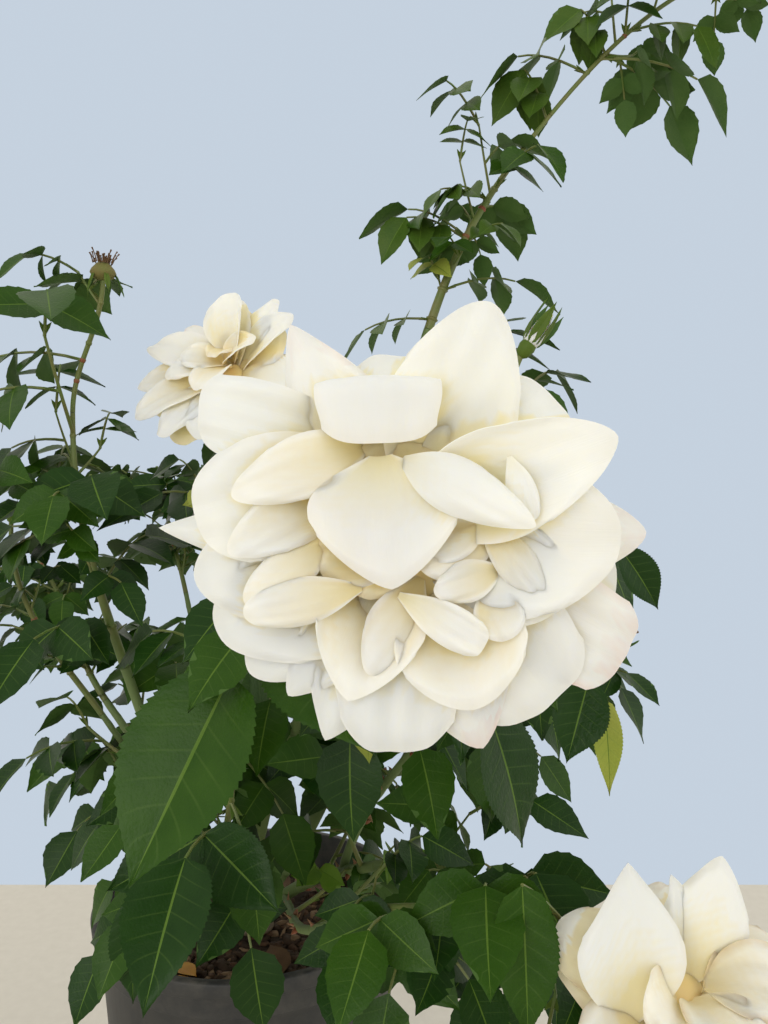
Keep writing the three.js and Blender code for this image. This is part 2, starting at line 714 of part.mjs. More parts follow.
function bloomSolids({ heart, face, core: [coreRadius, coreHeight], rings }, stemTip, stemWay) {
  const axis = heading(face);
  const centre = point(heart);
  const right = new THREE.Vector3().crossVectors(UP, axis).normalize();
  const above = new THREE.Vector3().crossVectors(axis, right);
  const turn = new THREE.Quaternion().setFromUnitVectors(UP, axis);
  const core = turned(CORE_PROFILE.map(([out, up]) => [out * coreRadius, up * coreHeight]), BLOOM.sides);
  core.applyQuaternion(turn).translate(centre.x, centre.y, centre.z);
  const hipFoot = centre.clone().addScaledVector(axis, -BLOOM.hipLength);
  const hip = {
    face,
    radius: BLOOM.hipRadius,
    length: BLOOM.hipLength * BLOOM.hipStretch,
    sepals: BLOOM.sepals,
    sepalLength: BLOOM.sepalLength,
    open: BLOOM.sepalsOpen,
  };
  const solids = [solidOf(core), ...budSolids(hip, hipFoot)];
  const neckFoot = stemTip.clone().addScaledVector(stemWay, CLEARANCE);
  const neckTip = hipFoot.clone().addScaledVector(axis, STEM.tipGirth);
  const neck = swayingCurve(neckFoot, stemWay, neckTip, axis, CANE.sway);
  solids.push(bentLimb(neck, [STEM.tipGirth, STEM.tipGirth * BLOOM.neckSwell], STEM.sides, BLOOM.neckSteps));
  rings.forEach(({ petals, count, reach, ...shape }, i) => {
    const places = petals ?? Array.from({ length: count }, (_, k) => [((k + i / 2) * 360) / count, reach]);
    for (const [clock, out] of places) {
      solids.push(petalSolid({ axis, right, above, heart: centre, clock, reach: out, ...shape }));
    }
  });
  return solids;
}

// The bush, put together from the pot up.
const bush = new THREE.Group();
const limbs = {};

function addPiece(name, solid, { color, roughness }) {
  const { vertProperties, triVerts } = solid.getMesh();
  const geometry = new THREE.BufferGeometry();
  geometry.setAttribute("position", new THREE.BufferAttribute(vertProperties, 3));
  geometry.setIndex(new THREE.BufferAttribute(triVerts, 1));
  geometry.computeVertexNormals();
  const mesh = new THREE.Mesh(geometry, new THREE.MeshStandardMaterial({ color, roughness, metalness: 0 }));
  mesh.name = name;
  bush.add(mesh);
}

// The main body of a solid, without scraps and with its sealed hollows filled.
function largest(solid) {
  return solid.decompose().sort((one, other) => other.volume() - one.volume())[0];
}

function fused(solids, tolerance) {
  return largest(Manifold.union(solids).simplify(tolerance));
}

function potWallRadius(height) {
  return lerp(POT.footRadius, POT.topRadius, height / POT.height);
}

function potSolid() {
  const lipFoot = POT.height - POT.lipDepth;
  const shell = solidOf(turned([
    [0, 0],
    [POT.footRadius, 0],
    [potWallRadius(lipFoot), lipFoot],
    [potWallRadius(lipFoot) + POT.lipReach, lipFoot],
    [POT.topRadius + POT.lipReach, POT.height],
    [POT.topRadius - POT.wall, POT.height],
    [potWallRadius(POT.floor) - POT.wall, POT.floor],
    [0, POT.floor],
  ], POT.sides));
  const { count, ring, radius, sides } = POT.drains;
  const drill = new THREE.CylinderGeometry(radius, radius, POT.floor * 3, sides).rotateX(Math.PI / 2);
  const drills = [];
  for (let i = 0; i < count; i += 1) {
    const angle = (i * 2 * Math.PI) / count;
    const place = [ring * Math.cos(angle), ring * Math.sin(angle), POT.floor / 2];
    drills.push(solidOf(drill.clone().translate(...place)));
  }
  return shell.subtract(Manifold.union(drills));
}

function soilSolid() {
  const foot = POT.floor + CLEARANCE;
  const inset = POT.wall + CLEARANCE;
  const edge = potWallRadius(SOIL_TOP) - inset;
  const profile = [[0, foot], [potWallRadius(foot) - inset, foot], [edge, SOIL_TOP]];
  for (let ring = 0; ring < SOIL.rings; ring += 1) {
    profile.push([lerp(edge - SOIL.wallMargin, SOIL.calmRadius, ring / (SOIL.rings - 1)), SOIL_TOP]);
  }
  profile.push([0, SOIL_TOP]);
  const geometry = mergeVertices(turned(profile, POT.sides), WELD);
  geometry.deleteAttribute("normal");
  geometry.deleteAttribute("uv");
  const merged = mergeVertices(geometry, WELD);
  const random = seededRandom(SOIL.seed);
  const places = merged.attributes.position;
  for (let i = 0; i < places.count; i += 1) {
    const radius = Math.hypot(places.getX(i), places.getY(i));
    const open = places.getZ(i) > SOIL_TOP - 1 && radius > SOIL.calmRadius + 1 && radius < edge - 1;
    if (open) places.setZ(i, SOIL_TOP + (random() - SOIL.settled) * 2 * SOIL.ripple);
  }
  return solidOf(merged);
}

function unionSolid(grow) {
  return solidOf(turned([
    [0, UNION_FOOT - grow],
    ...UNION.profile.map(([radius, share]) => [radius + grow, UNION_FOOT + UNION.height * share]),
    [0, UNION_FOOT + UNION.height + grow],
  ], UNION.sides));
}

const base = { pot: potSolid(), soil: soilSolid(), graft_union: unionSolid(0) };
for (const [name, solid] of Object.entries(base)) {
  addPiece(name, solid, COLOURS[name]);
  stand(solid, name);
}
limbs.graft_union = {
  curve: new THREE.LineCurve3(point([0, 0, UNION_FOOT]), point([0, 0, UNION_FOOT + UNION.height])),
  grown: unionSolid(CLEARANCE),
};

for (const [name, { from, at, start, tip, end, girth }] of Object.entries(CANES)) {
  const parent = limbs[from];
  const foot = parent.curve.getPoint(at);
  const curve = swayingCurve(foot, heading(start), point(tip), heading(end), CANE.sway);
  const cane = largest(bentLimb(curve, girth, CANE.sides, CANE.steps).subtract(parent.grown));
  const grownGirth = girth.map((radius) => radius + CLEARANCE);
  limbs[name] = { curve, girth, grown: bentLimb(curve, grownGirth, CANE.sides, CANE.steps) };
  addPiece(name, cane, COLOURS.cane);
  stand(cane, name);
}

// Stems and blooms stand before any leaf is tried.
for (const [name, { from, tip, end }] of Object.entries(SPRAYS)) {
  const parent = limbs[from];
  const way = parent.curve.getTangent(1);
  const foot = parent.curve.getPoint(1).addScaledVector(way, CLEARANCE);
  const curve = swayingCurve(foot, way, point(tip), heading(end), CANE.sway);
  const girth = [parent.girth[1], STEM.tipGirth];
  const stem = bentLimb(curve, girth, STEM.sides, STEM.steps);
  limbs[name] = { curve, girth, stem };
  stand(stem, name);
}
const blooms = {};
for (const [name, bloom] of Object.entries(BLOOMS)) {
  const { curve } = limbs[bloom.from];
  const solids = bloomSolids(bloom, curve.getPoint(1), curve.getTangent(1));
  blooms[name] = fused(solids, FUSE_TOLERANCE.bloom);
  stand(blooms[name], name);
}
const buds = {};
for (const [name, tip] of Object.entries(TIPS)) {
  buds[name] = budSolids(tip, limbs[name].curve.getPoint(TIP_PLACE));
}
for (const [name, spray] of Object.entries(SPRAYS)) {
  const solids = [...growSpray(name, spray, limbs[name]), ...(buds[name] ?? [])];
  const mass = fused(solids, FUSE_TOLERANCE.spray);
  addPiece(name, mass, COLOURS.spray);
  stand(mass, name);
}
for (const [name, solid] of Object.entries(blooms)) addPiece(name, solid, COLOURS.bloom);

export default bush;
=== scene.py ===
"""A white rose bush that stands in its black nursery pot.

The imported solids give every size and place. Around them each class below makes one
sub-assembly: the pot, the compost, the woody limbs, the leafy sprays and the blooms.
Lengths are millimetres in the plans and metres in the finished meshes.
"""

import json
import logging
import math
from collections.abc import Iterable, Sequence
from dataclasses import dataclass, field, replace
from enum import Enum
from functools import cache

import bpy
import numpy as np
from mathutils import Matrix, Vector
from mathutils.bvhtree import BVHTree
from mathutils.kdtree import KDTree

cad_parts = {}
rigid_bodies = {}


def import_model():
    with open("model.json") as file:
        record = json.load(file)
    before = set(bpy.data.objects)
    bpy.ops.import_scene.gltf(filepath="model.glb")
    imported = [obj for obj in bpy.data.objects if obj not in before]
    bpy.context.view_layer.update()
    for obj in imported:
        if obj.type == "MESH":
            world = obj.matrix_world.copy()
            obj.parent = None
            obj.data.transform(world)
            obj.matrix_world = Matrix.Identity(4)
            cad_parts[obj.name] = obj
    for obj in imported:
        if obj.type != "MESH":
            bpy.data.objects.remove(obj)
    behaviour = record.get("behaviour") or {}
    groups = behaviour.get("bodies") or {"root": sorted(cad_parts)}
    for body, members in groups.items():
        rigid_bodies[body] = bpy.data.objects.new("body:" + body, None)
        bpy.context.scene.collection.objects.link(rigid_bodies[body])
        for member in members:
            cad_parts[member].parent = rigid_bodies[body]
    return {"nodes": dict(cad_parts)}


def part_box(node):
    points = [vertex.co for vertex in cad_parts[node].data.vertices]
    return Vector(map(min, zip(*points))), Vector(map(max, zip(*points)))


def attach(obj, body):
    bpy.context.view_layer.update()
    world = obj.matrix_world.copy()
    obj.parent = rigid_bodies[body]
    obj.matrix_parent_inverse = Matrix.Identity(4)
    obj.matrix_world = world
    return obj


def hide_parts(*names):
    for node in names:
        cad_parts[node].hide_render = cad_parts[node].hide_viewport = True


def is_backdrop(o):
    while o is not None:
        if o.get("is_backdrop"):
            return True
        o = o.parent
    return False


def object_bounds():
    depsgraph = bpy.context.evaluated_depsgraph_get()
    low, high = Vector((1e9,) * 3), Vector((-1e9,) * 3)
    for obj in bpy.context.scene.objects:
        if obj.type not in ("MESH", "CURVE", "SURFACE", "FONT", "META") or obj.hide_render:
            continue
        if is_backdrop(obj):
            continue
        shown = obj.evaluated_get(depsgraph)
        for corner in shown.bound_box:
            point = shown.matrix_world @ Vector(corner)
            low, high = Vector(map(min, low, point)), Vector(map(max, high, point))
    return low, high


log = logging.getLogger("rose_bush")

MM = 0.001
ROUND = 6.28  # A full turn in radians, near enough for a chance phase.
UP = np.array([0.0, 0.0, 1.0])
ASIDE = np.array([1.0, 0.0, 0.0])
LIGHT = np.array([0.0, -1.0, 0.0])
BODY = "root"
Array = np.ndarray
Node, Socket, Tree = bpy.types.Node, bpy.types.NodeSocket, bpy.types.NodeTree
Thing = bpy.types.Object
Colour = tuple[float, float, float]
Place = tuple[float, float, float]
Span = tuple[float, float]


# Arithmetic.
def lerp(low: float, high: float, share: float) -> float:
    """A value between two others."""
    return low + (high - low) * share


def eased(share: Array | float) -> Array | float:
    """A share from 0 to 1 that starts and ends gently."""
    held = np.clip(share, 0.0, 1.0)
    return held * held * (3 - 2 * held)


def unit(way: Array) -> Array:
    """The same direction with a length of 1."""
    return way / np.linalg.norm(way)


def heading(azimuth: float, elevation: float) -> Array:
    """The direction at an azimuth from +X and an elevation above level, in degrees."""
    turn, rise = math.radians(azimuth), math.radians(elevation)
    return np.array([math.cos(rise) * math.cos(turn), math.cos(rise) * math.sin(turn), math.sin(rise)])


def square_to(way: Array) -> Array:
    """A direction at right angles to another."""
    return unit(np.cross(way, UP if abs(way[2]) < 0.9 else ASIDE))


def turns(count: int) -> Array:
    """Even turns of a full circle, in radians."""
    return np.arange(count) * (2 * math.pi / count)


class SeededRandom:
    """The small generator that grows the solids, so that leaves fall where theirs do."""

    MASK = 0xFFFFFFFF

    def __init__(self, seed: int) -> None:
        """Starts the row of draws."""
        self.state = seed & self.MASK

    def __call__(self) -> float:
        """Draws the next number.

        Returns:
            A number from 0 to 1.
        """
        self.state = (self.state + 0x6D2B79F5) & self.MASK
        mixed = ((self.state ^ (self.state >> 15)) * (self.state | 1)) & self.MASK
        stirred = ((mixed ^ (mixed >> 7)) * (mixed | 61)) & self.MASK
        mixed ^= (mixed + stirred) & self.MASK
        return (mixed ^ (mixed >> 14)) / 4294967296

    def between(self, span: Span) -> float:
        """The next draw, from the span's low end to its high one."""
        return lerp(span[0], span[1], self())


@dataclass(frozen=True)
class Bend:
    """A Bézier curve through space, of two, three or four knots."""

    knots: tuple[Array, ...]

    def point(self, share: float) -> Array:
        """Finds a place on the curve.

        Args:
            share: Its share of the curve, from 0 to 1.

        Returns:
            The place.
        """
        row = list(self.knots)
        while len(row) > 1:
            row = [one + (other - one) * share for one, other in zip(row, row[1:])]
        return row[0]

    def tangent(self, share: float) -> Array:
        """The way that the curve runs at a share of it."""
        step = 1e-4
        return unit(self.point(min(1.0, share + step)) - self.point(max(0.0, share - step)))

    def points(self, count: int) -> Array:
        """Places evenly along the curve, both ends included."""
        return np.array([self.point(i / (count - 1)) for i in range(count)])

    def nearest(self, place: Sequence[float], count: int) -> Array:
        """The nearest to a place of so many points along the curve."""
        points = self.points(count)
        return points[np.linalg.norm(points - np.array(place, float), axis=1).argmin()]

    def on_steps(self, share: float, steps: int) -> Array:
        """Finds a place on a limb that is straight between its steps.

        Args:
            share: Its share of the limb.
            steps: How many steps the limb has.

        Returns:
            The place.
        """
        step = min(steps - 1, int(share * steps))
        start, end = self.point(step / steps), self.point((step + 1) / steps)
        return start + (end - start) * (share * steps - step)


def swaying(foot: Array, first: Array, tip: Array, last: Array, sway: float) -> Bend:
    """A limb's line, which leaves its foot one way and reaches its tip another."""
    span = np.linalg.norm(tip - foot) * sway
    return Bend((foot, foot + first * span, tip - last * span, tip))


def rising(foot: Array, way: Array, length: float, rise: float) -> Bend:
    """A twig that sets out one way and turns up by a share of its length."""
    return Bend((foot, foot + way * length * 0.5, foot + way * length + UP * length * rise))


def branch_way(bend: Bend, share: float, turn: float, spread: float) -> Array:
    """The way of a side shoot.

    Args:
        bend: The line that it leaves.
        share: Where it leaves, as a share of that line.
        turn: Its turn about the line, in degrees.
        spread: Its angle from the line, in degrees.

    Returns:
        A direction with a length of 1.
    """
    tangent = bend.tangent(share)
    level = np.cross(UP, tangent)
    level = unit(level) if level @ level >= 0.01 else ASIDE
    raised = np.cross(tangent, level)
    about, away = math.radians(turn), math.radians(spread)
    radial = level * math.cos(about) + raised * math.sin(about)
    return unit(tangent * math.cos(away) + radial * math.sin(away))


# Shader nodes.
class Desk:
    """Places and wires the nodes of one tree."""

    def __init__(self, tree: Tree) -> None:
        """Clears the tree."""
        self.tree = tree
        tree.nodes.clear()

    def node(self, kind: str, settings: dict | None = None, **sockets: object) -> Node:
        """Adds one node.

        Args:
            kind: Blender's name for the node, without its "ShaderNode".
            settings: The node's own settings.
            sockets: Values or output sockets for its inputs, with _ for a space.

        Returns:
            The node.
        """
        made = self.tree.nodes.new("ShaderNode" + kind)
        for name, value in (settings or {}).items():
            setattr(made, name, value)
        for name, value in sockets.items():
            self.feed(made.inputs[name.replace("_", " ")], value)
        return made

    def feed(self, socket: Socket, value: object) -> None:
        """Wires an output socket to an input, or sets the input's own value.

        Args:
            socket: The input.
            value: An output socket, a colour or a number.
        """
        if isinstance(value, Socket):
            self.tree.links.new(value, socket)
        elif isinstance(value, tuple) and len(value) == 3 and socket.type == "RGBA":
            socket.default_value = (*value, 1.0)
        else:
            socket.default_value = value

    def mix(self, share: object, first: object, second: object) -> Socket:
        """Mixes two colours.

        Args:
            share: The second colour's share.
            first: One colour.
            second: The other.

        Returns:
            The mixed colour.
        """
        made = self.node("Mix", {"data_type": "RGBA"})
        for index, value in ((0, share), (6, first), (7, second)):
            self.feed(made.inputs[index], value)
        return made.outputs[2]

    def remap(self, value: object, low: float, high: float, to_low: float, to_high: float) -> Socket:
        """Moves a value from one span to another and holds it there.

        Args:
            value: The value.
            low, high: The span that it comes from.
            to_low, to_high: The span that it goes to.

        Returns:
            The moved value.
        """
        made = self.node("MapRange", Value=value)
        for name, number in (("From Min", low), ("From Max", high), ("To Min", to_low), ("To Max", to_high)):
            made.inputs[name].default_value = number
        return made.outputs["Result"]

    def math(self, operation: str, first: object, second: object = 0.0) -> Socket:
        """Works out one operation.

        Args:
            operation: Blender's name for it.
            first: The first value.
            second: The second value, where it has one.

        Returns:
            The result.
        """
        made = self.node("Math", {"operation": operation})
        self.feed(made.inputs[0], first)
        self.feed(made.inputs[1], second)
        return made.outputs[0]

    def effect(self, group: Tree, **sockets: object) -> Node:
        """Adds a shared effect with its own values."""
        return self.node("Group", {"node_tree": group}, **sockets)


def new_effect(name: str, inputs: dict[str, float | Colour], outputs: Sequence[str]) -> tuple:
    """Starts a shader node group.

    Args:
        name: The group's name.
        inputs: Each input's usual value, a number or a colour.
        outputs: The outputs. The one named Color is a colour and the others are numbers.

    Returns:
        The group, its desk, the values that it is given and the results that it puts out.
    """
    group = bpy.data.node_groups.new(name, "ShaderNodeTree")
    for label, usual in inputs.items():
        kind = "Color" if isinstance(usual, tuple) else "Float"
        made = group.interface.new_socket(name=label, in_out="INPUT", socket_type="NodeSocket" + kind)
        made.default_value = (*usual, 1.0) if kind == "Color" else usual
    for label in outputs:
        kind = "Color" if label == "Color" else "Float"
        group.interface.new_socket(name=label, in_out="OUTPUT", socket_type="NodeSocket" + kind)
    desk = Desk(group)
    return group, desk, group.nodes.new("NodeGroupInput").outputs, group.nodes.new("NodeGroupOutput").inputs


@cache
def mottle_effect() -> Tree:
    """Soft blotches and fine grain, as a mask and a height.

    Returns:
        The node group.
    """
    group, desk, given, out = new_effect(
        "mottle", {"Scale": 40.0, "Grain": 400.0, "Contrast": 0.5}, ("Mask", "Height"))
    place = desk.node("TexCoord").outputs["Object"]
    blotch = desk.node("TexNoise", Vector=place, Scale=given["Scale"], Detail=3.0)
    grain = desk.node("TexNoise", Vector=place, Scale=given["Grain"], Detail=2.0)
    wide = desk.math("MULTIPLY", desk.math("SUBTRACT", blotch.outputs["Fac"], 0.5), given["Contrast"])
    desk.feed(out["Mask"], desk.remap(desk.math("ADD", wide, 0.5), 0.2, 0.8, 0.0, 1.0))
    desk.feed(out["Height"], desk.math("ADD", blotch.outputs["Fac"], grain.outputs["Fac"]))
    return group


@cache
def dust_effect() -> Tree:
    """Dust that gathers where a surface faces up or a splash has dried.

    Returns:
        The node group.
    """
    usual = {"Base": (0.1, 0.1, 0.1), "Dust": (0.5, 0.45, 0.4), "Amount": 0.3, "Scale": 60.0}
    group, desk, given, out = new_effect("dust", usual, ("Color", "Mask"))
    place = desk.node("TexCoord").outputs["Object"]
    cloud = desk.node("TexNoise", Vector=place, Scale=given["Scale"], Detail=6.0, Roughness=0.7)
    normal = desk.node("NewGeometry").outputs["Normal"]
    upward = desk.remap(desk.node("SeparateXYZ", Vector=normal).outputs["Z"], -0.4, 1.0, 0.25, 1.0)
    patches = desk.remap(cloud.outputs["Fac"], 0.42, 0.72, 0.0, 1.0)
    mask = desk.math("MULTIPLY", desk.math("MULTIPLY", upward, patches), given["Amount"])
    desk.feed(out["Color"], desk.mix(mask, given["Base"], given["Dust"]))
    desk.feed(out["Mask"], mask)
    return group


@cache
def fibre_effect() -> Tree:
    """Fine lines that run along a limb or chip, as a mask and a height.

    Returns:
        The node group.
    """
    group, desk, given, out = new_effect("fibre", {"Across": 900.0, "Along": 60.0}, ("Mask", "Height"))
    place = desk.node("TexCoord").outputs["Object"]
    stretch = desk.node("CombineXYZ", X=given["Across"], Y=given["Across"], Z=given["Along"])
    scaled = desk.node("VectorMath", {"operation": "MULTIPLY"})
    desk.feed(scaled.inputs[0], place)
    desk.feed(scaled.inputs[1], stretch.outputs["Vector"])
    lines = desk.node("TexNoise", Vector=scaled.outputs["Vector"], Scale=1.0, Detail=4.0)
    desk.feed(out["Mask"], desk.remap(lines.outputs["Fac"], 0.35, 0.65, 0.0, 1.0))
    desk.feed(out["Height"], lines.outputs["Fac"])
    return group


@cache
def leaf_vein_effect() -> Tree:
    """The curved side veins of a leaflet, read from its own map, as a mask.

    Returns:
        The node group.
    """
    group, desk, given, out = new_effect("leaf_veins", {"Pairs": 8.0, "Slant": 2.2}, ("Mask",))
    place = desk.node("SeparateXYZ", Vector=desk.node("TexCoord").outputs["UV"])
    side = desk.math("ABSOLUTE", desk.math("SUBTRACT", place.outputs["Y"], 0.5))
    count = desk.math("MULTIPLY", place.outputs["X"], given["Pairs"])
    lag = desk.math("MULTIPLY", side, given["Slant"])
    turn = desk.math("MULTIPLY", desk.math("SUBTRACT", count, lag), 2 * math.pi)
    line = desk.remap(desk.math("COSINE", turn), 0.93, 1.0, 0.0, 1.0)
    desk.feed(out["Mask"], desk.math("MULTIPLY", line, desk.remap(side, 0.25, 0.48, 1.0, 0.0)))
    return group


@cache
def petal_vein_effect() -> Tree:
    """The fan of fine veins on a petal and its share along it, read from the petal's own map.

    Returns:
        The node group.
    """
    group, desk, given, out = new_effect("petal_veins", {"Veins": 46.0}, ("Along", "Rim", "Height"))
    place = desk.node("SeparateXYZ", Vector=desk.node("TexCoord").outputs["UV"])
    stretch = desk.node("CombineXYZ", X=desk.math("MULTIPLY", place.outputs["X"], 3.0),
                        Y=desk.math("MULTIPLY", place.outputs["Y"], given["Veins"]))
    lines = desk.node("TexNoise", Vector=stretch.outputs["Vector"], Scale=1.0, Detail=3.0)
    side = desk.math("ABSOLUTE", desk.math("SUBTRACT", place.outputs["Y"], 0.5))
    side = desk.remap(side, 0.38, 0.5, 0.0, 1.0)
    end = desk.remap(place.outputs["X"], 0.86, 1.0, 0.0, 1.0)
    desk.feed(out["Along"], place.outputs["X"])
    desk.feed(out["Rim"], desk.math("MAXIMUM", side, end))
    desk.feed(out["Height"], lines.outputs["Fac"])
    return group


# Finishes.
@dataclass(frozen=True)
class Finish:
    """A surface's colour and gloss. Each kind of surface below adds its own detail."""

    name: str
    colour: Colour
    second: Colour
    roughness: float = 0.5

    def make(self) -> bpy.types.Material:
        """Makes the finish, once.

        Returns:
            The material.
        """
        known = bpy.data.materials.get(self.name)
        if known is not None:
            return known
        material = bpy.data.materials.new(self.name)
        material.use_nodes = True
        desk = Desk(material.node_tree)
        shader = desk.node("BsdfPrincipled", Roughness=self.roughness)
        output = desk.node("OutputMaterial")
        desk.feed(output.inputs["Surface"], shader.outputs["BSDF"])
        self.dress(desk, shader)
        return material

    def dress(self, desk: Desk, shader: Node) -> None:
        """Wires the detail into the shader: soft blotches of the second colour.

        Args:
            desk: The material's desk.
            shader: Its surface.
        """
        mottle = desk.effect(mottle_effect(), Scale=90.0, Grain=700.0, Contrast=1.2)
        desk.feed(shader.inputs["Base Color"], desk.mix(mottle.outputs["Mask"], self.colour, self.second))
        self.relief(desk, shader, mottle.outputs["Height"], 0.15, 0.0004)

    @staticmethod
    def relief(desk: Desk, shader: Node, height: object, strength: float, depth: float) -> None:
        """Gives the shader a small relief by its normal."""
        bump = desk.node("Bump", Height=height, Strength=strength, Distance=depth)
        desk.feed(shader.inputs["Normal"], bump.outputs["Normal"])


@dataclass(frozen=True)
class MouldedPlastic(Finish):
    """Matt black plastic with dust and dried splashes."""

    dust: Colour = (0.30, 0.27, 0.22)

    def dress(self, desk: Desk, shader: Node) -> None:
        """Dust over a faint moulding grain.

        Args:
            desk: The material's desk.
            shader: Its surface.
        """
        mottle = desk.effect(mottle_effect(), Scale=30.0, Grain=1500.0, Contrast=0.9)
        base = desk.mix(mottle.outputs["Mask"], self.colour, self.second)
        dust = desk.effect(dust_effect(), Base=base, Dust=self.dust, Amount=0.34, Scale=55.0)
        desk.feed(shader.inputs["Base Color"], dust.outputs["Color"])
        roughness = desk.remap(dust.outputs["Mask"], 0.0, 0.3, self.roughness, 0.85)
        desk.feed(shader.inputs["Roughness"], roughness)
        self.relief(desk, shader, mottle.outputs["Height"], 0.2, 0.0003)


@dataclass(frozen=True)
class Bark(Finish):
    """Bark with lines along it, which browns towards the foot of the limb."""

    foot: Colour = (0.12, 0.085, 0.045)
    foot_span: Span = (0.24, 0.36)
    depth: float = 0.0006

    def dress(self, desk: Desk, shader: Node) -> None:
        """Lines, blotches and the brown foot.

        Args:
            desk: The material's desk.
            shader: Its surface.
        """
        fibre = desk.effect(fibre_effect(), Across=700.0, Along=70.0)
        mottle = desk.effect(mottle_effect(), Scale=120.0, Grain=900.0, Contrast=1.5)
        green = desk.mix(fibre.outputs["Mask"], self.colour, self.second)
        height = desk.node("SeparateXYZ", Vector=desk.node("TexCoord").outputs["Object"]).outputs["Z"]
        low = desk.remap(height, self.foot_span[0], self.foot_span[1], 1.0, 0.0)
        patchy = desk.math("MULTIPLY", low, mottle.outputs["Mask"])
        desk.feed(shader.inputs["Base Color"], desk.mix(patchy, green, self.foot))
        relief = desk.math("ADD", fibre.outputs["Height"], mottle.outputs["Height"])
        self.relief(desk, shader, relief, 0.5, self.depth)


@dataclass(frozen=True)
class LeafSkin(Finish):
    """A leaf's skin: waxy, blotched by light and dark green, with paler side veins."""

    vein: Colour = (0.085, 0.150, 0.030)
    vein_share: float = 0.22
    gloss: float = 0.16

    def dress(self, desk: Desk, shader: Node) -> None:
        """Blotches, side veins and a waxy gloss.

        Args:
            desk: The material's desk.
            shader: Its surface.
        """
        mottle = desk.effect(mottle_effect(), Scale=70.0, Grain=900.0, Contrast=1.3)
        veins = desk.effect(leaf_vein_effect())
        base = desk.mix(mottle.outputs["Mask"], self.colour, self.second)
        faint = desk.math("MULTIPLY", veins.outputs["Mask"], self.vein_share)
        desk.feed(shader.inputs["Base Color"], desk.mix(faint, base, self.vein))
        shader.inputs["Specular IOR Level"].default_value = self.gloss
        self.relief(desk, shader, mottle.outputs["Height"], 0.3, 0.0006)


@dataclass(frozen=True)
class PetalSilk(Finish):
    """A petal: warm at its foot, silky, with fine veins and a tinted rim: a real blush on some skins, a
    painted highlight on the rest.
    """

    # Near white unless given: a painted highlight on the rim. The blushed and aged skins give their real rim
    # tint here.
    blush: Colour = (0.97, 0.96, 0.90)
    warm_until: float = 0.6
    light_through: float = 0.5
    light_reach: Colour = (1.0, 0.8, 0.45)
    light_scale: float = 0.006
    sheen: float = 0.2

    def dress(self, desk: Desk, shader: Node) -> None:
        """The warm foot, which also carries painted shade in the bloom's crevices, the rim's tint, the veins
        and the light that passes through.

        Args:
            desk: The material's desk.
            shader: Its surface.
        """
        veins = desk.effect(petal_vein_effect(), Veins=70.0)
        # Warmer towards the foot. As painted shade, it is also warmer where the bloom has pulled the map's
        # share along down for corners deep under other petals.
        foot_and_shade_warmth = desk.remap(veins.outputs["Along"], 0.05, self.warm_until, 1.0, 0.0)
        base = desk.mix(foot_and_shade_warmth, self.colour, self.second)
        mottle = desk.effect(mottle_effect(), Scale=60.0, Grain=600.0, Contrast=1.6)
        # The rim is mixed towards its tint. On the pale skins this is a near-white painted highlight for
        # light shining through the thin rim; on the blushed and aged skins it is their real colour.
        patchy_rim = desk.math("MULTIPLY", veins.outputs["Rim"], mottle.outputs["Mask"])
        desk.feed(shader.inputs["Base Color"], desk.mix(patchy_rim, base, self.blush))
        for name, value in (
                ("Subsurface Weight", self.light_through), ("Subsurface Radius", self.light_reach),
                ("Subsurface Scale", self.light_scale), ("Sheen Weight", self.sheen),
                ("Sheen Roughness", 0.5)):
            shader.inputs[name].default_value = value
        self.relief(desk, shader, veins.outputs["Height"], 0.18, 0.0004)


